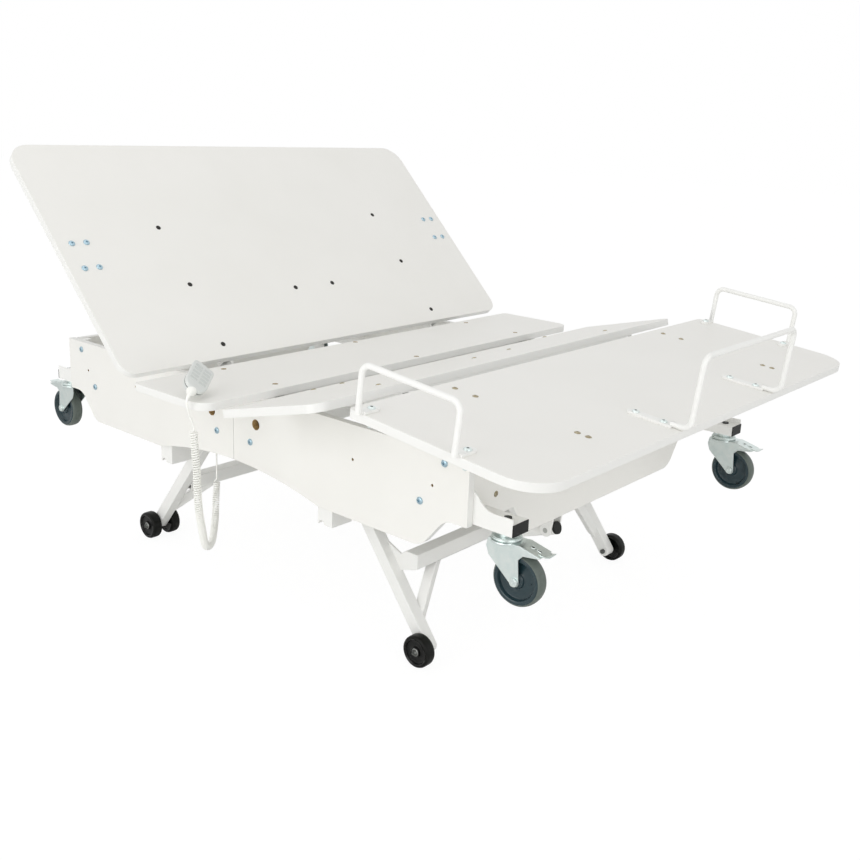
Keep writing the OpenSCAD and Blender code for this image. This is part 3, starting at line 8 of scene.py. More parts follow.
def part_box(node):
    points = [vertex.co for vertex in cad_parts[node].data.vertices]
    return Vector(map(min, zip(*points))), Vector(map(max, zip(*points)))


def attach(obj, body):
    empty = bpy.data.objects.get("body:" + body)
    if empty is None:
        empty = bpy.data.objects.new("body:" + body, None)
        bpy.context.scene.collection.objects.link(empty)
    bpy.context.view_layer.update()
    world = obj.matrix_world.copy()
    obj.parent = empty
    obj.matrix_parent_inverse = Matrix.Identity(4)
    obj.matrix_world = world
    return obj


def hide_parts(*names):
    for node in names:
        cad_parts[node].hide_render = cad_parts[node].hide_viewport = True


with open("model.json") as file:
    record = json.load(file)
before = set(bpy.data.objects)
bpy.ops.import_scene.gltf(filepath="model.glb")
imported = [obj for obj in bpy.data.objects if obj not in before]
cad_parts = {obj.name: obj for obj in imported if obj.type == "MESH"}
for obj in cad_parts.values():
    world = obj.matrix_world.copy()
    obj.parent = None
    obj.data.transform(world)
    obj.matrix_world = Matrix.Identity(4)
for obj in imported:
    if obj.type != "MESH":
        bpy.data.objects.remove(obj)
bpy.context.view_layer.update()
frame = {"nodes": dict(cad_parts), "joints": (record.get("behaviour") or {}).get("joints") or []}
MM = 0.001

# Camera
# It stands off the left corner of the foot end, a little above the top of the raised backrest.
# Its place, turn and lens were worked out from the photograph's edges and fasteners.
photo_side = 860
camera_at = Vector((-1.98075, -1.77403, 1.18324))
camera_yaw = math.radians(-50.336)
camera_pitch = math.radians(15.214)
camera_roll = math.radians(2.473)
focal_px = 1025.96
axis_px = (441.19, 397.89)
sensor_mm = 36.0
near_clip = 0.05

camera = bpy.data.objects.new("camera", bpy.data.cameras.new("camera"))
bpy.context.scene.collection.objects.link(camera)
camera.matrix_world = (
    Matrix.Translation(camera_at)
    @ Matrix.Rotation(camera_yaw, 4, "Z")
    @ Matrix.Rotation(math.radians(90) - camera_pitch, 4, "X")
    @ Matrix.Rotation(camera_roll, 4, "Z")
)
camera.data.sensor_width = sensor_mm
camera.data.lens = sensor_mm * focal_px / photo_side
camera.data.shift_x = -(axis_px[0] - photo_side / 2) / photo_side
camera.data.shift_y = (axis_px[1] - photo_side / 2) / photo_side
camera.data.clip_start = near_clip
bpy.context.scene.camera = camera
bpy.context.scene.view_settings.view_transform = "Standard"


def linear(code):
    """Turns an sRGB hex colour into the linear colour that the shaders take."""
    parts = [int(code[i:i + 2], 16) / 255 for i in (1, 3, 5)]
    return [c / 12.92 if c <= 0.04045 else ((c + 0.055) / 1.055) ** 2.4 for c in parts] + [1.0]


def put(tree, kind, inputs=(), **settings):
    """Adds a node with its settings, and gives its inputs their values or links."""
    node = tree.nodes.new(kind)
    for name, value in settings.items():
        setattr(node, name, value)
    for name, value in dict(inputs).items():
        if isinstance(value, bpy.types.NodeSocket):
            tree.links.new(value, node.inputs[name])
        else:
            node.inputs[name].default_value = value
    return node


# Studio
# A pale floor and a white surround, lit by a soft box overhead, one on the left and one at the
# foot end. The camera and the mirror-like metal see the surround as pure white.
horizon_level = 0.92
zenith_level = 0.54
seen_level = 1.0
soft_boxes = [  # name, place, target, side in metres, watts
    ("overhead_light", (-0.3, 0.2, 3.4), (0, 0, 0.4), 3.2, 11.0),
    ("left_light", (-4.2, -0.2, 1.6), (0, 0, 0.5), 2.8, 45.0),
    ("foot_light", (-1.5, -4.5, 2.0), (0, 0, 0.5), 2.6, 30.0),
]

world = bpy.data.worlds.new("white_surround")
bpy.context.scene.world = world
world.use_nodes = True
tree = world.node_tree
tree.nodes.clear()
path = put(tree, "ShaderNodeLightPath")
seen = path.outputs["Is Camera Ray"]
for ray in ("Is Glossy Ray", "Is Transmission Ray"):
    either = put(tree, "ShaderNodeMath", {0: seen, 1: path.outputs[ray]}, operation="MAXIMUM")
    seen = either.outputs[0]
way = put(tree, "ShaderNodeTexCoord")
height = put(tree, "ShaderNodeSeparateXYZ", {"Vector": way.outputs["Generated"]})
sky = put(tree, "ShaderNodeMapRange", {
    "Value": height.outputs["Z"], "To Min": horizon_level, "To Max": zenith_level,
})
level = put(tree, "ShaderNodeMapRange", {
    "Value": seen, "To Min": sky.outputs["Result"], "To Max": seen_level,
})
glow = put(tree, "ShaderNodeBackground", {
    "Color": linear("#FFFFFF"), "Strength": level.outputs["Result"],
})
put(tree, "ShaderNodeOutputWorld", {"Surface": glow.outputs["Background"]})

for name, at, target, side, power in soft_boxes:
    lamp = bpy.data.lights.new(name, "AREA")
    lamp.shape = "SQUARE"
    lamp.size = side
    lamp.energy = power
    holder = bpy.data.objects.new(name, lamp)
    bpy.context.scene.collection.objects.link(holder)
    holder.matrix_world = (
        Matrix.Translation(at)
        @ (Vector(target) - Vector(at)).to_track_quat("-Z", "Y").to_matrix().to_4x4()
    )

floor_side = 40.0
floor_drop = 0.2 * MM
floor_white_share = 0.88
floor_glow = 1.055

floor_paint = bpy.data.materials.new("studio_floor")
floor_paint.use_nodes = True
tree = floor_paint.node_tree
tree.nodes.clear()
path = put(tree, "ShaderNodeLightPath")
matt = put(tree, "ShaderNodeBsdfDiffuse", {"Color": linear("#F6F6F5")})
white = put(tree, "ShaderNodeEmission", {"Color": linear("#FFFFFF"), "Strength": floor_glow})
share = put(tree, "ShaderNodeMath", {0: path.outputs["Is Camera Ray"], 1: floor_white_share},
            operation="MULTIPLY")
mixed = put(tree, "ShaderNodeMixShader", {
    0: share.outputs[0], 1: matt.outputs[0], 2: white.outputs[0],
})
put(tree, "ShaderNodeOutputMaterial", {"Surface": mixed.outputs[0]})

mesh = bpy.data.meshes.new("studio_floor")
half = floor_side / 2
floor_corners = [(x * half, y * half, -floor_drop) for x, y in ((-1, -1), (1, -1), (1, 1), (-1, 1))]
mesh.from_pydata(floor_corners, [], [(0, 1, 2, 3)])
mesh.materials.append(floor_paint)
floor = bpy.data.objects.new("studio_floor", mesh)
bpy.context.scene.collection.objects.link(floor)

# Handset cord
# One length of round PVC cord: a straight lead out of the handset, a close-wound curly stretch
# that hangs in a U under its own weight, and a straight lead up into the base frame.
cord_d = 3.6 * MM
curl_outer_d = 18 * MM
curl_turns = 115
curl_steps = 18
curl_tail = 1 * MM
curl_end_turn = 0.6
curl_end_length = 14 * MM
lead_route = [
    (-704.1, -21.5, 596.1), (-706.9, -22.6, 595.4), (-709.6, -23.6, 593.8), (-711.8, -24.1, 591),
    (-713.4, -24.4, 587.2), (-714.4, -24.5, 581.5), (-714.4, -25.1, 573), (-712.8, -25.8, 562),
    (-710.6, -27.2, 550), (-707.4, -29.7, 540), (-705.3, -31.6, 533),
]
curl_route = [
    (-705, -32, 530), (-705, -33, 505), (-705, -36, 470), (-704, -39, 430), (-702, -38, 374),
    (-694, -31, 328), (-664, -2, 260), (-634, 30, 213), (-596, 67, 187), (-560, 102, 178),
    (-534, 129, 186), (-506, 158, 210), (-488, 178, 248), (-478, 187, 285), (-476, 189, 300),
]
relief_route = [
    (-692.7, -12.3, 599.8), (-695, -14.1, 599), (-698.8, -17.2, 597.8), (-702.5, -20.2, 596.6),
]
relief_radii = [11.5, 11.5, 10, 7.6, 5.6, 4.4, 3.8, 3.4, 3.0, 2.7, 2.3]
lead_fine = 4
curl_fine = 12
sleeve_spots = range(2, 27, 4)
low_route = [
    (-475.5, 189.5, 304), (-475.2, 189.8, 310), (-475, 190, 320),
    (-475, 190, 340), (-475, 190, 365), (-475, 190, 395), (-475, 190, 423.8),
]


def finish(name, colour, roughness, metallic=0.0):
    """A new material with one principled shader; returns it, its tree and the shader."""
    material = bpy.data.materials.new(name)
    material.use_nodes = True
    material.diffuse_color = linear(colour)
    shader = material.node_tree.nodes["Principled BSDF"]
    shader.inputs["Base Color"].default_value = linear(colour)
    shader.inputs["Roughness"].default_value = roughness
    shader.inputs["Metallic"].default_value = metallic
    return material, material.node_tree, shader


def through(points, fine):
    """A smooth curve through chosen points, with fine steps between each two."""
    last = len(points) - 1
    run = []
    for i in range(last):
        a, b, c, d = (points[max(i - 1, 0)], points[i], points[i + 1], points[min(i + 2, last)])
        for step in range(fine):
            f = step / fine
            run.append(0.5 * (2 * b + f * (c - a) + f * f * (2 * a - 5 * b + 4 * c - d)
                              + f ** 3 * (3 * b - a - 3 * c + d)))
    return run + [points[last]]


def wound(points, turns, steps, radius, tail, end_turn, end_length):
    """A helix round a sampled route. At both ends it leaves the route's own line in one slow part
    of a turn, so that the cord bends gently there."""
    marks = [0.0]
    for a, b in zip(points, points[1:]):
        marks.append(marks[-1] + (b - a).length)
    total = marks[-1]
    side = Vector((1, 0, 0))
    first = steps * end_turn
    advance = (total - 2 * tail - 2 * end_length) / (turns * steps - 2 * first)
    extra = end_length - advance * first
    run = []
    i = 0
    for k in range(turns * steps + 1):
        j = min(k, turns * steps - k)
        x = min(1.0, j / first)
        along = tail + advance * j + extra * x * (2 - x)
        s = along if 2 * k < turns * steps else total - along
        while i < len(marks) - 2 and marks[i + 1] < s:
            i += 1
            ahead = (points[i + 1] - points[i]).normalized()
            side = (side - side.dot(ahead) * ahead).normalized()
        ahead = (points[i + 1] - points[i]).normalized()
        across = ahead.cross(side)
        at = points[i].lerp(points[i + 1], (s - marks[i]) / (marks[i + 1] - marks[i]))
        grow = x * x * (3 - 2 * x)
        turn = math.tau * k / steps
        run.append(at + radius * grow * (math.cos(turn) * side + math.sin(turn) * across))
    return run


# Extruded soft PVC: a satin sheath with a fine, shallow grain
cord_pvc, tree, shader = finish("cord_pvc_extruded", "#F7F7F2", 0.4)
place = put(tree, "ShaderNodeTexCoord")
grain = put(tree, "ShaderNodeTexNoise", {
    "Vector": place.outputs["Object"], "Scale": 1 / (1.5 * MM), "Detail": 2.0,
})
ridges = put(tree, "ShaderNodeBump", {
    "Height": grain.outputs["Fac"], "Strength": 0.25, "Distance": 0.1 * MM,
})
tree.links.new(ridges.outputs["Normal"], shader.inputs["Normal"])
shader.inputs["Subsurface Weight"].default_value = 0.05
shader.inputs["Subsurface Radius"].default_value = (0.002, 0.002, 0.002)

lead = through([Vector(p) * MM for p in lead_route], lead_fine)
coil = wound(through([Vector(p) * MM for p in curl_route], curl_fine), curl_turns, curl_steps,
             (curl_outer_d - cord_d) / 2, curl_tail, curl_end_turn, curl_end_length)
low = through([Vector(p) * MM for p in low_route], lead_fine)
cord_points = lead + coil + low
curve = bpy.data.curves.new("handset_cord", "CURVE")
curve.dimensions = "3D"
curve.bevel_depth = cord_d / 2
curve.bevel_resolution = 2
spline = curve.splines.new("POLY")
spline.points.add(len(cord_points) - 1)
for point, at in zip(spline.points, cord_points):
    point.co = (*at, 1.0)
spline.use_smooth = True
curve.materials.append(cord_pvc)
cord = bpy.data.objects.new("handset_cord", curve)
bpy.context.scene.collection.objects.link(cord)
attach(cord, "base")
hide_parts("handset_lead", "curly_cord", "lower_lead")

# The relief is moulded onto the cord: a cone at the shell's end that runs out into a sleeve
sleeve_points = [Vector(p) * MM for p in relief_route] + [lead[i] for i in sleeve_spots]
curve = bpy.data.curves.new("strain_relief", "CURVE")
curve.dimensions = "3D"
curve.bevel_depth = MM
curve.bevel_resolution = 6
curve.use_fill_caps = True
spline = curve.splines.new("POLY")
spline.points.add(len(sleeve_points) - 1)
for point, at, radius in zip(spline.points, sleeve_points, relief_radii):
    point.co = (*at, 1.0)
    point.radius = radius
spline.use_smooth = True
curve.materials.append(cord_pvc)
sleeve = bpy.data.objects.new("strain_relief", curve)
bpy.context.scene.collection.objects.link(sleeve)
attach(sleeve, "base")
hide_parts("handset_relief")

# Mattress boards and base panels
# 18 mm chipboard faced with white melamine, sawn to shape and drilled, with ABS edge band glued
# round every edge. The face is satin with a pressed pearl grain; the band is a little smoother.
board_ease = 0.9 * MM
crease = math.radians(32)
same_point = 2e-6
flat_turn = math.radians(0.4)
wide_face = 2000 * MM * MM
short_edge = 1.2 * MM


def dressed(node, body, materials, ease, turn=crease, segments=2):
    """Stands for a CAD node: the same shape with whole flat faces and eased edges. Edges shorter
    than short_edge stay sharp, because easing them would show as lines across the faces."""
    mesh = bpy.data.meshes.new(node + "_dressed")
    bm = bmesh.new()
    bm.from_mesh(frame["nodes"][node].data)
    bmesh.ops.remove_doubles(bm, verts=bm.verts, dist=same_point)
    bmesh.ops.dissolve_limit(bm, angle_limit=flat_turn, verts=bm.verts, edges=bm.edges)
    for face in bm.faces:
        face.smooth = face.calc_area() < wide_face
        face.material_index = 0
    eased = bm.edges.layers.float.new("bevel_weight_edge")
    for edge in bm.edges:
        sharp = edge.is_manifold and edge.calc_face_angle() > turn
        edge[eased] = 1.0 if sharp and edge.calc_length() > short_edge else 0.0
    bm.to_mesh(mesh)
    bm.free()
    for material in materials:
        mesh.materials.append(material)
    piece = bpy.data.objects.new(node + "_dressed", mesh)
    bpy.context.scene.collection.objects.link(piece)
    bevel = piece.modifiers.new("eased_edges", "BEVEL")
    bevel.width = ease
    bevel.segments = segments
    bevel.limit_method = "WEIGHT"
    bevel.use_clamp_overlap = False
    bevel.harden_normals = True
    flat = piece.modifiers.new("flat_faces", "WEIGHTED_NORMAL")
    flat.mode = "FACE_AREA"
    flat.weight = 100
    flat.keep_sharp = True
    mesh.set_sharp_from_angle(angle=turn)
    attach(piece, body)
    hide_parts(node)
    return piece


# Pressed melamine: a satin white sheet with a pearl grain, drawn about three times too coarse so
# that it shows, and a very slight mottle from handling
melamine, tree, shader = finish("melamine_pressed", "#F0EFEA", 0.42)
place = put(tree, "ShaderNodeTexCoord")
pearl = put(tree, "ShaderNodeTexNoise", {
    "Vector": place.outputs["Object"], "Scale": 1 / (3.5 * MM), "Detail": 3.0,
})
relief = put(tree, "ShaderNodeBump", {
    "Height": pearl.outputs["Fac"], "Strength": 0.12, "Distance": 0.25 * MM,
})
tree.links.new(relief.outputs["Normal"], shader.inputs["Normal"])
cloud = put(tree, "ShaderNodeTexNoise", {
    "Vector": place.outputs["Object"], "Scale": 5.0, "Detail": 4.0,
})
tint = put(tree, "ShaderNodeValToRGB", {"Fac": cloud.outputs["Fac"]})
tint.color_ramp.elements[0].color = linear("#EDECE7")
tint.color_ramp.elements[1].color = linear("#F3F2EE")
tree.links.new(tint.outputs["Color"], shader.inputs["Base Color"])
rub = put(tree, "ShaderNodeMapRange", {
    "Value": cloud.outputs["Fac"], "To Min": 0.36, "To Max": 0.5,
})
tree.links.new(rub.outputs["Result"], shader.inputs["Roughness"])

# Glued ABS edge band: smoother than the face, with a soft waviness
edge_band, tree, shader = finish("abs_edge_band", "#EEEEEB", 0.36)
place = put(tree, "ShaderNodeTexCoord")
lines = put(tree, "ShaderNodeTexNoise", {
    "Vector": place.outputs["Object"], "Scale": 1 / (6 * MM), "Detail": 1.0,
})
relief = put(tree, "ShaderNodeBump", {
    "Height": lines.outputs["Fac"], "Strength": 0.08, "Distance": 0.2 * MM,
})
tree.links.new(relief.outputs["Normal"], shader.inputs["Normal"])

# Raw chipboard, which shows in the drilled holes: brown wood chips of 1 to 3 mm in resin
chipboard, tree, shader = finish("chipboard_drilled", "#B8955A", 0.8)
place = put(tree, "ShaderNodeTexCoord")
chips = put(tree, "ShaderNodeTexVoronoi", {
    "Vector": place.outputs["Object"], "Scale": 1 / (2 * MM),
})
tint = put(tree, "ShaderNodeValToRGB", {"Fac": chips.outputs["Distance"]})
tint.color_ramp.elements[0].color = linear("#8C6A38")
tint.color_ramp.elements[1].color = linear("#CDB07C")
tree.links.new(tint.outputs["Color"], shader.inputs["Base Color"])
hole_reach = 60 * MM
steep = math.cos(math.radians(45))


def banded(piece, up):
    """Gives a board's narrow faces the edge band, and the walls of its holes raw chipboard.
    A wall of narrow faces that reaches less far than hole_reach is a hole's."""
    bm = bmesh.new()
    bm.from_mesh(piece.data)
    narrow = {f for f in bm.faces if abs(f.normal.dot(up)) < steep}
    while narrow:
        wall = [narrow.pop()]
        for face in wall:
            near = {other for edge in face.edges for other in edge.link_faces} & narrow
            narrow -= near
            wall.extend(near)
        spots = [vert.co for face in wall for vert in face.verts]
        reach = max((spot - spots[0]).length for spot in spots)
        for face in wall:
            face.material_index = 2 if reach < hole_reach else 1
    bm.to_mesh(piece.data)
    bm.free()


hinges = {joint["name"]: joint for joint in frame["joints"]}
# At rest the back section is up by back_rest, the thigh section by thigh_rest, and the calf
# section, which turns back by calf_turn on it, slopes down by calf_rest
back_rest = math.radians(45.4)
thigh_rest = math.radians(14.35)
calf_turn = math.radians(20.47)
calf_rest = calf_turn - thigh_rest
X_AXIS = Vector((1, 0, 0))
Y_AXIS = Vector((0, 1, 0))
Z_AXIS = Vector((0, 0, 1))
UP = {
    "backrest": Vector((0, -math.sin(back_rest), math.cos(back_rest))),
    "base": Z_AXIS,
    "thigh_section": Vector((0, math.sin(thigh_rest), math.cos(thigh_rest))),
    "calf_section": Vector((0, -math.sin(calf_rest), math.cos(calf_rest))),
}
for node, body, across in (
    ("back_board", "backrest", UP["backrest"]), ("seat_board", "base", UP["base"]),
    ("thigh_board", "thigh_section", UP["thigh_section"]),
    ("calf_board", "calf_section", UP["calf_section"]),
    ("side_panel_head_left", "base", X_AXIS), ("side_panel_head_right", "base", X_AXIS),
    ("side_panel_foot_left", "base", X_AXIS), ("side_panel_foot_right", "base", X_AXIS),
    ("head_end_panel", "base", Y_AXIS), ("foot_end_panel", "base", Y_AXIS),
):
    banded(dressed(node, body, [melamine, edge_band, chipboard], board_ease), across)

# Welded steel frames
# Square and rectangular tube, laser-cut plates and lugs, welded together and powder coated white.
# The tubes' corners are round, and the coat softens every cut edge and weld.
plate_ease = 0.8 * MM
leg_ease = 1.5 * MM

# Sprayed and baked powder coat: semi-gloss white with an orange peel of about 2 mm
powder_coat, tree, shader = finish("powder_coat_baked", "#F2F2EF", 0.34)
place = put(tree, "ShaderNodeTexCoord")
peel = put(tree, "ShaderNodeTexNoise", {
    "Vector": place.outputs["Object"], "Scale": 1 / (4 * MM), "Detail": 1.5,
})
relief = put(tree, "ShaderNodeBump", {
    "Height": peel.outputs["Fac"], "Strength": 0.18, "Distance": 0.3 * MM,
})
tree.links.new(relief.outputs["Normal"], shader.inputs["Normal"])
cloud = put(tree, "ShaderNodeTexNoise", {
    "Vector": place.outputs["Object"], "Scale": 9.0, "Detail": 3.0,
})
rub = put(tree, "ShaderNodeMapRange", {
    "Value": cloud.outputs["Fac"], "To Min": 0.28, "To Max": 0.42,
})
tree.links.new(rub.outputs["Result"], shader.inputs["Roughness"])

for node, body, ease in (
    ("base_frame", "base", plate_ease), ("back_frame", "backrest", plate_ease),
    ("thigh_frame", "thigh_section", plate_ease), ("calf_frame", "calf_section", plate_ease),
    ("head_leg_frame", "head_legs", leg_ease), ("foot_leg_frame", "foot_legs", leg_ease),
):
    dressed(node, body, [powder_coat], ease)

# Mattress retainers
# 12 mm steel rod, cold bent and powder coated, welded to flat tabs that are screwed to the calf
# board. They keep the mattress from sliding and serve as handles.
rod_ease = 0.6 * MM
for node in ("retainer_left", "retainer_right", "retainer_foot"):
    dressed(node, "calf_section", [powder_coat], rod_ease, segments=1)

# Screws
# Zinc-plated pan screws with a cross recess hold the mounting plates, panels and retainers.
# Socket screws with a washer hold the boards to their frames: blackened in the back board, and
# yellow zinc in the others. Rings are (radius, height) in millimetres over the board's face.
head_sides = 28
shank_sides = 12
pan_high, cap_high = 4.0 * MM, 2.0 * MM
pan_shank, cap_shank = 3.9, 2.9
pan_from = 7 * MM
head_skin, head_depth = 0.5 * MM, 5 * MM

# Bright zinc plating, passivated: a bluish, slightly cloudy metal
zinc, tree, shader = finish("zinc_plate_passivated", "#DAE4E2", 0.3, 1.0)
place = put(tree, "ShaderNodeTexCoord")
cloud = put(tree, "ShaderNodeTexNoise", {
    "Vector": place.outputs["Object"], "Scale": 1 / (14 * MM), "Detail": 4.0,
})
tint = put(tree, "ShaderNodeValToRGB", {"Fac": cloud.outputs["Fac"]})
tint.color_ramp.elements[0].color = linear("#CCDAD9")
tint.color_ramp.elements[1].color = linear("#E6EBE8")
tree.links.new(tint.outputs["Color"], shader.inputs["Base Color"])
rub = put(tree, "ShaderNodeMapRange", {
    "Value": cloud.outputs["Fac"], "To Min": 0.24, "To Max": 0.42,
})
tree.links.new(rub.outputs["Result"], shader.inputs["Roughness"])

# Zinc screws look bluer, because their small round heads mirror the studio
screw_zinc, tree, shader = finish("screw_zinc_blue", "#A9C2CE", 0.33, 1.0)
place = put(tree, "ShaderNodeTexCoord")
cloud = put(tree, "ShaderNodeTexNoise", {"Vector": place.outputs["Object"], "Scale": 1 / (4 * MM)})
rub = put(tree, "ShaderNodeMapRange", {
    "Value": cloud.outputs["Fac"], "To Min": 0.25, "To Max": 0.45,
})
tree.links.new(rub.outputs["Result"], shader.inputs["Roughness"])

# Heat-blackened steel: nearly black, satin, a little brown where the oil has dried. It is also the
# painted shade in the calf screws' cross recesses, the casters' race groove and the pedal holes
black_steel_and_shade, tree, shader = finish("steel_blackened_and_painted_shade", "#2A2926", 0.45, 0.4)
place = put(tree, "ShaderNodeTexCoord")
cloud = put(tree, "ShaderNodeTexNoise", {"Vector": place.outputs["Object"], "Scale": 1 / (3 * MM)})
tint = put(tree, "ShaderNodeValToRGB", {"Fac": cloud.outputs["Fac"]})
tint.color_ramp.elements[0].color = linear("#1F1F1E")
tint.color_ramp.elements[1].color = linear("#383530")
tree.links.new(tint.outputs["Color"], shader.inputs["Base Color"])

# Yellow-passivated zinc on the deck's screws: a dull gold that mirrors the white room
yellow_zinc, tree, shader = finish("zinc_plate_yellow", "#A69A7C", 0.36, 1.0)
place = put(tree, "ShaderNodeTexCoord")
cloud = put(tree, "ShaderNodeTexNoise", {"Vector": place.outputs["Object"], "Scale": 1 / (3 * MM)})
tint = put(tree, "ShaderNodeValToRGB", {"Fac": cloud.outputs["Fac"]})
tint.color_ramp.elements[0].color = linear("#7E6F4E")
tint.color_ramp.elements[1].color = linear("#C9C2AC")
tree.links.new(tint.outputs["Color"], shader.inputs["Base Color"])


def solids_in(node):
    """The vertices of each separate solid of a CAD node."""
    bm = bmesh.new()
    bm.from_mesh(frame["nodes"][node].data)
    bmesh.ops.remove_doubles(bm, verts=bm.verts, dist=same_point)
    seen = set()
    groups = []
    for start in bm.verts:
        if start.index in seen:
            continue
        stack = [start]
        seen.add(start.index)
        group = []
        while stack:
            vert = stack.pop()
            group.append(vert.co.copy())
            for edge in vert.link_edges:
                other = edge.other_vert(vert)
                if other.index not in seen:
                    seen.add(other.index)
                    stack.append(other)
        groups.append(group)
    bm.free()
    return groups


def square_to(axis):
    """A turn that carries Z onto an axis."""
    return axis.to_track_quat("Z", "Y").to_matrix().to_4x4()


def turned(bm, profile, place, sides, material=0, shape=None):
    """Adds a turned body to bm. The profile holds (radius, height) pairs, and material is one
    index or a list with one for each band between them. shape(i, angle) may scale ring i's
    radius, for a recess that isn't round."""
    rings = []
    for i, (radius, height) in enumerate(profile):
        if radius < same_point:
            rings.append([bm.verts.new(place @ Vector((0, 0, height)))])
            continue
        ring = []
        for k in range(sides):
            angle = math.tau * k / sides
            r = radius * (shape(i, angle) if shape else 1)
            at = Vector((r * math.cos(angle), r * math.sin(angle), height))
            ring.append(bm.verts.new(place @ at))
        rings.append(ring)
    for i, (a, b) in enumerate(zip(rings, rings[1:])):
        index = material[i] if isinstance(material, (list, tuple)) else material
        for k in range(sides):
            n = (k + 1) % sides
            if len(a) == 1 and len(b) == 1:
                continue
            if len(a) == 1:
                corners = (a[0], b[n], b[k])
            elif len(b) == 1:
                corners = (a[k], a[n], b[0])
            else:
                corners = (a[k], a[n], b[n], b[k])
            face = bm.faces.new(corners)
            face.material_index = index
            face.smooth = True


def made(name, bm, materials, body, nodes=(), turn=crease):
    """Turns a finished bmesh into a piece that rides on a body and stands for CAD nodes."""
    bmesh.ops.recalc_face_normals(bm, faces=bm.faces)
    mesh = bpy.data.meshes.new(name)
    bm.to_mesh(mesh)
    bm.free()
    mesh.set_sharp_from_angle(angle=turn)
    for material in materials:
        mesh.materials.append(material)
    piece = bpy.data.objects.new(name, mesh)
    bpy.context.scene.collection.objects.link(piece)
    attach(piece, body)
    if nodes:
        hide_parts(*nodes)
    return piece


pan_rings = [(0, 1.1), (2.6, 1.1), (3.4, 3.4), (5.6, 3.2), (7.2, 2.3), (8.0, 1.0), (8.0, 0), (0, 0)]
cap_rings = [
    (0, 0.8), (1.9, 0.8), (2.0, 2.0), (3.8, 2.0), (4.4, 1.6), (4.6, 0.7), (6.2, 0.7), (6.5, 0.5),
    (6.5, 0), (0, 0),
]
recess_rings = (1, 2)
cross_depth = 0.5


def cross(i, angle):
    """The four wings of a cross recess, cut into the first rings of a screw head."""
    return 1 - cross_depth * (1 - math.cos(4 * angle)) / 2 if i in recess_rings else 1


def hexagon(i, angle):
    """The six flats of a socket, cut into the first rings of a screw head."""
    if i not in recess_rings:
        return 1
    return math.cos(math.pi / 6) / math.cos((angle % (math.pi / 3)) - math.pi / 6)


def head_of(points, axis, depth):
    """The middle and the radius of the points that lie within a depth of the end of an axis."""
    top = max(p.dot(axis) for p in points)
    head = [p for p in points if p.dot(axis) > top - depth]
    middle = sum(head, Vector()) / len(head)
    return middle, max(((p - middle) - (p - middle).dot(axis) * axis).length for p in head)


def screws(name, node, body, axes, cap, pan_metal=screw_zinc, recess_shade_metal=screw_zinc):
    """Heads and shanks for every screw of a CAD node. A solid's size says which kind it is; axes
    are the directions that its heads may look in."""
    bm = bmesh.new()
    for points in solids_in(node):
        axis = max(axes, key=lambda a: head_of(points, a, head_skin)[1])
        top = max(p.dot(axis) for p in points)
        middle, radius = head_of(points, axis, head_depth)
        pan = radius > pan_from
        high = pan_high if pan else cap_high
        foot = middle + (top - high - middle.dot(axis)) * axis
        place = Matrix.Translation(foot) @ square_to(axis) @ Matrix.Scale(MM, 4)
        if pan:
            # A pan head's recess bands take recess_shade_metal, which on the calf's screws is
            # painted shade
            metals = [2 if i < 2 else 0 for i in range(len(pan_rings))]
            turned(bm, pan_rings, place, head_sides, metals, cross)
        else:
            turned(bm, cap_rings, place, head_sides, 1, hexagon)
        low = min(p.dot(axis) for p in points)
        length = (top - high - low) / MM
        shank = pan_shank if pan else cap_shank
        shank_rings = [(0, -length), (shank, -length), (shank, 0)]
        turned(bm, shank_rings, place, shank_sides, 0 if pan else 1)
    made(name, bm, [pan_metal, cap, recess_shade_metal], body, [node])


screws("back_screw_set", "back_screws", "backrest", [UP["backrest"]], black_steel_and_shade)
screws("thigh_screw_set", "thigh_screws", "thigh_section", [UP["thigh_section"]], yellow_zinc)
# The calf's zinc pan screws get blackened steel in their cross recess: painted shade in the recess
screws("calf_screw_set", "calf_screws", "calf_section", [UP["calf_section"]], yellow_zinc,
       zinc, black_steel_and_shade)
screws("base_screw_set", "panel_and_seat_screws", "base",
       [UP["base"], X_AXIS, -X_AXIS, Y_AXIS, -Y_AXIS], yellow_zinc)

# Tube end caps
# Ribbed polyethylene plugs, injection moulded, pushed into the open ends of the rails, and the
# round caps on top of the caster stems.
cap_ease = 0.7 * MM
black_plug, tree, shader = finish("polyethylene_moulded", "#141615", 0.42)
place = put(tree, "ShaderNodeTexCoord")
grain = put(tree, "ShaderNodeTexNoise", {
    "Vector": place.outputs["Object"], "Scale": 1 / (2 * MM), "Detail": 2.0,
})
relief = put(tree, "ShaderNodeBump", {
    "Height": grain.outputs["Fac"], "Strength": 0.2, "Distance": 0.15 * MM,
})
tree.links.new(relief.outputs["Normal"], shader.inputs["Normal"])
shader.inputs["Specular IOR Level"].default_value = 0.25
dressed("tube_end_caps", "base", [black_plug], cap_ease)

# Floor rollers
# Black polyamide rollers with a pressed-on rubber tyre, each on a button-head bolt with a nut.
# They carry the bed while its legs are down. Rings are (radius, height) in millimetres.
roller_sides = 72
bearing_sides = 36
bolt_ease = 0.5 * MM

# Moulded polyamide: glossy black
roller_core, tree, shader = finish("polyamide_moulded", "#050605", 0.16)
place = put(tree, "ShaderNodeTexCoord")
grain = put(tree, "ShaderNodeTexNoise", {"Vector": place.outputs["Object"], "Scale": 1 / (5 * MM)})
relief = put(tree, "ShaderNodeBump", {
    "Height": grain.outputs["Fac"], "Strength": 0.1, "Distance": 0.1 * MM,
})
tree.links.new(relief.outputs["Normal"], shader.inputs["Normal"])
shader.inputs["Specular IOR Level"].default_value = 0.3

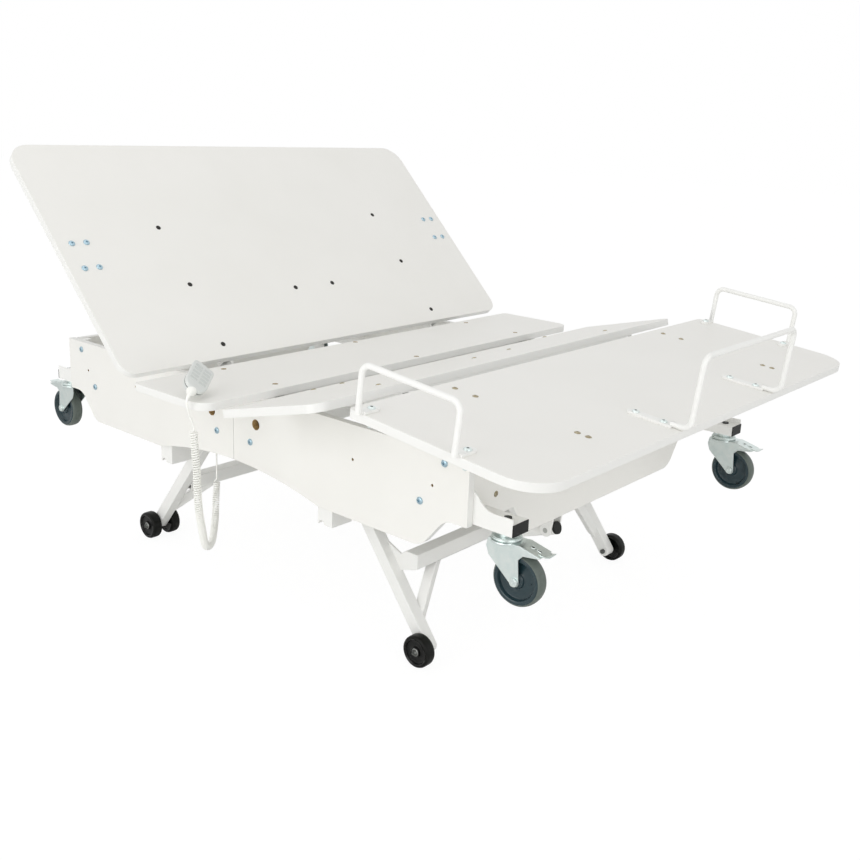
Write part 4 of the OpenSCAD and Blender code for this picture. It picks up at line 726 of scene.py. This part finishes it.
# Vulcanised rubber: a matt, greyish black with dust in its grain
tyre, tree, shader = finish("rubber_vulcanised", "#0D0E0C", 0.38)
place = put(tree, "ShaderNodeTexCoord")
dust = put(tree, "ShaderNodeTexNoise", {
    "Vector": place.outputs["Object"], "Scale": 1 / (2.5 * MM), "Detail": 4.0,
})
tint = put(tree, "ShaderNodeValToRGB", {"Fac": dust.outputs["Fac"]})
tint.color_ramp.elements[0].color = linear("#080908")
tint.color_ramp.elements[1].color = linear("#161714")
tree.links.new(tint.outputs["Color"], shader.inputs["Base Color"])
shader.inputs["Specular IOR Level"].default_value = 0.18

# Turned steel, bright and oiled
turned_steel, tree, shader = finish("steel_turned", "#B4B6B2", 0.28, 1.0)
place = put(tree, "ShaderNodeTexCoord")
lathe = put(tree, "ShaderNodeTexNoise", {
    "Vector": place.outputs["Object"], "Scale": 1 / (3 * MM), "Detail": 3.0,
})
rub = put(tree, "ShaderNodeMapRange", {"Value": lathe.outputs["Fac"], "To Min": 0.2, "To Max": 0.4})
tree.links.new(rub.outputs["Result"], shader.inputs["Roughness"])

roller_rings = [
    (4.05, -13), (10, -13), (11.5, -12.2), (12.5, -9), (14, -8.4), (24, -8.4), (27, -9.5),
    (28.5, -12.5), (31, -13.9), (33.5, -13.6), (36, -12), (37.3, -9), (37.5, -5),
    (37.5, 5), (37.3, 9), (36, 12), (33.5, 13.6), (31, 13.9), (28.5, 12.5),
    (27, 9.5), (24, 8.4), (14, 8.4), (12.5, 9), (11.5, 12.2), (10, 13), (4.05, 13), (4.05, -13),
]
tyre_first, tyre_last = 8, 17
bearing_rings = [(4.6, 13), (4.6, 14), (8.2, 14), (8.8, 13.5), (8.8, 12.8)]


def axle_frame(joint):
    """A place whose Z runs along a joint's axis, outwards, with its origin in the joint."""
    at = Vector(joint["pos_m"])
    axis = Vector(joint["axis"]).normalized()
    if axis.x * at.x < 0:
        axis = -axis
    return Matrix.Translation(at) @ square_to(axis)


for joint in frame["joints"]:
    if not joint["name"].endswith("_spin"):
        continue
    node = joint["name"][: -len("_spin")]
    low_corner, high_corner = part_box(node)
    middle = (low_corner + high_corner) / 2
    place = axle_frame(joint)
    place.translation = Vector((middle.x, *joint["pos_m"][1:]))
    bm = bmesh.new()
    parts = [1 if tyre_first <= i < tyre_last else 0 for i in range(len(roller_rings) - 1)]
    turned(bm, roller_rings, place @ Matrix.Scale(MM, 4), roller_sides, parts)
    for turn in (0, math.pi):
        face = place @ Matrix.Rotation(turn, 4, "X") @ Matrix.Scale(MM, 4)
        turned(bm, bearing_rings, face, bearing_sides, 2)
    made(node + "_turned", bm, [roller_core, tyre, turned_steel], joint["child"],
         [node])

# Their bolts are oil-blackened steel, worn bright in patches
bolt_steel, tree, shader = finish("steel_oil_blackened", "#6A6C6A", 0.3, 1.0)
place = put(tree, "ShaderNodeTexCoord")
worn = put(tree, "ShaderNodeTexNoise", {
    "Vector": place.outputs["Object"], "Scale": 1 / (3 * MM), "Detail": 3.0,
})
tint = put(tree, "ShaderNodeValToRGB", {"Fac": worn.outputs["Fac"]})
tint.color_ramp.elements[0].color = linear("#3C3E3D")
tint.color_ramp.elements[1].color = linear("#8B8D8A")
tree.links.new(tint.outputs["Color"], shader.inputs["Base Color"])
for node, body in (("head_roller_bolts", "head_legs"), ("foot_roller_bolts", "foot_legs")):
    dressed(node, body, [bolt_steel], bolt_ease)

# Casters
# Bought-in braked casters: a zinc-plated fork pressed from 3 mm sheet, a ball race, a kingpin, a
# polypropylene wheel with a grey elastic tyre, and a pressed pedal that locks wheel and swivel.
# Rings are (radius, height), and sections (distance from the stem, height), in millimetres.
corners = ("head_left", "head_right", "foot_left", "foot_right")
wheel_sides = 96
race_sides = 56
rivet_sides = 24
nub_sides = 12
fork_ease = 0.7 * MM
pedal_crease = math.radians(20)

# Moulded polypropylene: dark blue-grey, satin
hub_plastic, tree, shader = finish("polypropylene_moulded", "#20343A", 0.24)
place = put(tree, "ShaderNodeTexCoord")
flow = put(tree, "ShaderNodeTexNoise", {
    "Vector": place.outputs["Object"], "Scale": 1 / (25 * MM), "Detail": 3.0,
})
tint = put(tree, "ShaderNodeValToRGB", {"Fac": flow.outputs["Fac"]})
tint.color_ramp.elements[0].color = linear("#1B2E34")
tint.color_ramp.elements[1].color = linear("#263C42")
tree.links.new(tint.outputs["Color"], shader.inputs["Base Color"])

# Thermoplastic rubber: a paler, matt grey that shows its mould lines
tread_rubber, tree, shader = finish("thermoplastic_rubber", "#5C655F", 0.5)
place = put(tree, "ShaderNodeTexCoord")
dust = put(tree, "ShaderNodeTexNoise", {
    "Vector": place.outputs["Object"], "Scale": 1 / (6 * MM), "Detail": 4.0,
})
tint = put(tree, "ShaderNodeValToRGB", {"Fac": dust.outputs["Fac"]})
tint.color_ramp.elements[0].color = linear("#525B55")
tint.color_ramp.elements[1].color = linear("#67706A")
tree.links.new(tint.outputs["Color"], shader.inputs["Base Color"])

wheel_rings = [
    (6.1, -16.5), (11, -16.5), (13.5, -15.5), (16, -13), (17, -10), (18.5, -9.2), (36, -8.2),
    (38.5, -9), (40, -12), (41.5, -15), (43.5, -16.2), (48, -16.2), (49.2, -15.4),
    (49.4, -14.6), (51, -14.2), (53.3, -11.5), (54.6, -7), (55, 0),
    (54.6, 7), (53.3, 11.5), (51, 14.2), (49.4, 14.6),
    (49.2, 15.4), (48, 16.2), (43.5, 16.2), (41.5, 15), (40, 12), (38.5, 9),
    (36, 8.2), (18.5, 9.2), (17, 10), (16, 13), (13.5, 15.5), (11, 16.5), (6.1, 16.5), (6.1, -16.5),
]
tread_first, tread_last = 13, 21
nub_rings = [(2.2, 0), (2.2, 1.2), (1.6, 1.6), (0, 1.7)]
nub_out, nub_high = 30, 8.4
rivet_rings = [(0, 3.2), (2.4, 3.2), (3, 4), (5.6, 4), (6.4, 3.3), (8.9, 3.3), (9.3, 2.6), (9.4, 0)]
cheek_out = 21.5
crown_z = 409
race_rings = [
    (26, -6), (30, -5.4), (31.8, -4.4), (32.4, -2.6), (31.6, -0.8), (28.4, 0), (28, 1),
    (30.2, 1.8), (31, 3.2), (30.2, 4.6), (27, 5.4), (14, 5.6),
]
# The groove between the two race plates is coloured blackened steel: painted shade in the groove
race_gap_shade = (5, 6)
cover_section = [
    (38, 409.8), (44, 409.6), (88, 398.2), (88.6, 396), (86.6, 396), (43.4, 407.6), (38, 407.8),
]
cover_half = 21.6
tongue_section = [(80, 399), (96, 396.6), (104, 399), (104, 401), (96, 398.8), (80, 401)]
tongue_half = 13
hole_rings = [(0, 0.4), (3.2, 0.4), (3.4, 1.0), (4.8, 1.0), (5.4, 0.1)]
# Each hole's floor is a blackened steel disc: painted shade for the dark inside of the hole
hole_spots = ((60, 405.3, 1.0), (76, 401.1, 1.9))  # distance, height, how far it is drawn out
cover_slope = math.atan2(398.2 - 409.6, 88 - 44)


def slab(bm, section, half, place):
    """Adds a plate to bm: its side view in Y and Z, drawn out to half its width on either side."""
    near = [bm.verts.new(place @ Vector((-half, y, z))) for y, z in section]
    far = [bm.verts.new(place @ Vector((half, y, z))) for y, z in section]
    bm.faces.new(near)
    bm.faces.new(far[::-1])
    for k in range(len(section)):
        n = (k + 1) % len(section)
        bm.faces.new((near[k], far[k], far[n], near[n]))


for corner in corners:
    joint = hinges["wheel_spin_" + corner]
    place = axle_frame(joint)
    bm = bmesh.new()
    parts = [1 if tread_first <= i < tread_last else 0 for i in range(len(wheel_rings) - 1)]
    turned(bm, wheel_rings, place @ Matrix.Scale(MM, 4), wheel_sides, parts)
    for side in (1, -1):
        face = place @ Matrix.Rotation(0 if side > 0 else math.pi, 4, "X")
        spot = face @ Matrix.Translation((nub_out * MM, 0, nub_high * MM)) @ Matrix.Scale(MM, 4)
        turned(bm, nub_rings, spot, nub_sides)
    made("wheel_turned_" + corner, bm, [hub_plastic, tread_rubber], "wheel_" + corner,
         ["caster_wheel_" + corner])
    dressed("caster_fork_" + corner, "fork_" + corner, [zinc], fork_ease)
    axle = Vector(joint["pos_m"])
    stem = Vector(hinges["swivel_" + corner]["pos_m"])
    stem.z = 0
    out = Vector((axle.x - stem.x, axle.y - stem.y, 0)).normalized()
    across = out.cross(Z_AXIS)
    caster = Matrix((
        (across.x, out.x, 0, stem.x), (across.y, out.y, 0, stem.y), (0, 0, 1, 0), (0, 0, 0, 1),
    )) @ Matrix.Scale(MM, 4)
    bm = bmesh.new()
    for side in (1, -1):
        cheek = place @ Matrix.Rotation(0 if side > 0 else math.pi, 4, "X") @ Matrix.Scale(MM, 4)
        turned(bm, rivet_rings, cheek @ Matrix.Translation((0, 0, cheek_out)), rivet_sides)
    spot = caster @ Matrix.Translation((0, 0, crown_z))
    parts = [1 if i in race_gap_shade else 0 for i in range(len(race_rings) - 1)]
    turned(bm, race_rings, spot, race_sides, parts)
    made("caster_race_" + corner, bm, [zinc, black_steel_and_shade], "fork_" + corner)
    bm = bmesh.new()
    slab(bm, cover_section, cover_half, caster)
    slab(bm, tongue_section, tongue_half, caster)
    for y, z, stretch in hole_spots:
        spot = caster @ Matrix.Translation((0, y, z)) @ Matrix.Rotation(cover_slope, 4, "X")
        spot = spot @ Matrix.Diagonal((1 / stretch ** 0.5, stretch, 1, 1))
        turned(bm, hole_rings, spot, rivet_sides, [1, 0, 0, 0])
    made("brake_pedal_pressed_" + corner, bm, [zinc, black_steel_and_shade], "pedal_" + corner,
         ["brake_pedal_" + corner], turn=pedal_crease)

# Lift actuators, hinge pins and control box
# Telescopic actuators with a grey moulded tube and a bright steel rod push the deck and the legs.
# The control box under the seat board is moulded in dark grey ABS.
tube_ease = 0.8 * MM
rod_end_ease = 0.5 * MM
box_ease = 4 * MM

# Moulded glass-filled polyamide: pale grey, matt
actuator_case, tree, shader = finish("glass_filled_polyamide", "#C9CCCA", 0.48)
place = put(tree, "ShaderNodeTexCoord")
grain = put(tree, "ShaderNodeTexNoise", {
    "Vector": place.outputs["Object"], "Scale": 1 / (2 * MM), "Detail": 3.0,
})
relief = put(tree, "ShaderNodeBump", {
    "Height": grain.outputs["Fac"], "Strength": 0.25, "Distance": 0.15 * MM,
})
tree.links.new(relief.outputs["Normal"], shader.inputs["Normal"])

# Moulded ABS with a coarse grain in its surface
box_abs, tree, shader = finish("abs_grained", "#3A3D3F", 0.5)
place = put(tree, "ShaderNodeTexCoord")
grain = put(tree, "ShaderNodeTexVoronoi", {
    "Vector": place.outputs["Object"], "Scale": 1 / (1.5 * MM),
})
relief = put(tree, "ShaderNodeBump", {
    "Height": grain.outputs["Distance"], "Strength": 0.3, "Distance": 0.15 * MM,
})
tree.links.new(relief.outputs["Normal"], shader.inputs["Normal"])

for name in ("back", "thigh", "head_leg", "foot_leg"):
    dressed(name + "_actuator_tube", "base", [actuator_case], tube_ease)
    dressed(name + "_actuator_rod", name + "_rod", [turned_steel], rod_end_ease)
dressed("hinge_pins", "base", [turned_steel], rod_end_ease)
dressed("control_box", "base", [box_abs], box_ease, segments=4)

# Handset
# A wired hand control, moulded in light grey ABS in two halves with a seam round its side, with
# two rows of five soft keys and a strain relief at its cord end. The outline is (across, along)
# and the levels are (height, inset), in millimetres from the middle of its cord end.
key_ease = 0.9 * MM
shell_crease = math.radians(50)

# Moulded ABS: light grey, satin, with a fine spark grain
handset_abs, tree, shader = finish("abs_moulded_light_grey", "#DADDDA", 0.4)
place = put(tree, "ShaderNodeTexCoord")
grain = put(tree, "ShaderNodeTexNoise", {
    "Vector": place.outputs["Object"], "Scale": 1 / (1.2 * MM), "Detail": 2.0,
})
relief = put(tree, "ShaderNodeBump", {
    "Height": grain.outputs["Fac"], "Strength": 0.12, "Distance": 0.1 * MM,
})
tree.links.new(relief.outputs["Normal"], shader.inputs["Normal"])

# Moulded silicone: a shade darker and more matt
key_rubber, tree, shader = finish("silicone_keys", "#CED2CF", 0.55)
place = put(tree, "ShaderNodeTexCoord")
grain = put(tree, "ShaderNodeTexNoise", {
    "Vector": place.outputs["Object"], "Scale": 1 / (1.2 * MM), "Detail": 2.0,
})
relief = put(tree, "ShaderNodeBump", {
    "Height": grain.outputs["Fac"], "Strength": 0.15, "Distance": 0.1 * MM,
})
tree.links.new(relief.outputs["Normal"], shader.inputs["Normal"])

# The groove of the seam between the halves is painted dark grey: painted shade in the groove
seam_shade, tree, shader = finish("handset_seam_shade", "#6D716E", 0.6)
place = put(tree, "ShaderNodeTexCoord")
grain = put(tree, "ShaderNodeTexNoise", {
    "Vector": place.outputs["Object"], "Scale": 1 / (1.0 * MM),
})
relief = put(tree, "ShaderNodeBump", {
    "Height": grain.outputs["Fac"], "Strength": 0.2, "Distance": 0.1 * MM,
})
tree.links.new(relief.outputs["Normal"], shader.inputs["Normal"])

handset_at = Vector((-692, -21, 607.1)) * MM
handset_tilt, handset_lean, handset_turn = (math.radians(a) for a in (14, 41, -51))
held = (
    Matrix.Translation(handset_at)
    @ Matrix.Rotation(handset_turn, 4, "Z")
    @ Matrix.Rotation(handset_tilt, 4, "X")
    @ Matrix.Rotation(handset_lean, 4, "Y")
    @ Matrix.Scale(MM, 4)
)
half_outline = [
    (0, 0), (6, 0), (12, 0.6), (17, 3), (21, 8), (24, 15), (26, 23), (27, 32), (27, 55),
    (27, 80), (27, 94), (26.2, 99), (23.6, 103), (19, 104.8), (10, 105), (0, 105),
]
shell_levels = [
    (0, 3.6), (-0.5, 1.8), (-1.8, 0.4), (-4, 0), (-7.6, 0), (-8, 1.1), (-9.4, 1.1),
    (-10, 0.4), (-15.5, 2), (-19.5, 5.4), (-22, 10),
]
# Bands of the seam's groove, which take the painted shade
seam_shade_band = (4, 5, 6)

outline = half_outline[1:] + [(-x, y) for x, y in half_outline[-2:0:-1]]
bm = bmesh.new()
rings = []
for level, inset in shell_levels:
    ring = []
    for i, (x, y) in enumerate(outline):
        before, after = outline[i - 1], outline[(i + 1) % len(outline)]
        along = Vector((after[0] - before[0], after[1] - before[1])).normalized()
        ring.append(bm.verts.new(held @ Vector((x - along.y * inset, y + along.x * inset, level))))
    rings.append(ring)
for i, (a, b) in enumerate(zip(rings, rings[1:])):
    for k in range(len(a)):
        n = (k + 1) % len(a)
        face = bm.faces.new((a[k], a[n], b[n], b[k]))
        face.smooth = True
        face.material_index = 1 if i in seam_shade_band else 0
bm.faces.new(rings[0])
bm.faces.new(rings[-1][::-1])
made("handset_shell_moulded", bm, [handset_abs, seam_shade], "base", ["handset_shell"],
     turn=shell_crease)
dressed("handset_keys", "keypad", [key_rubber], key_ease)
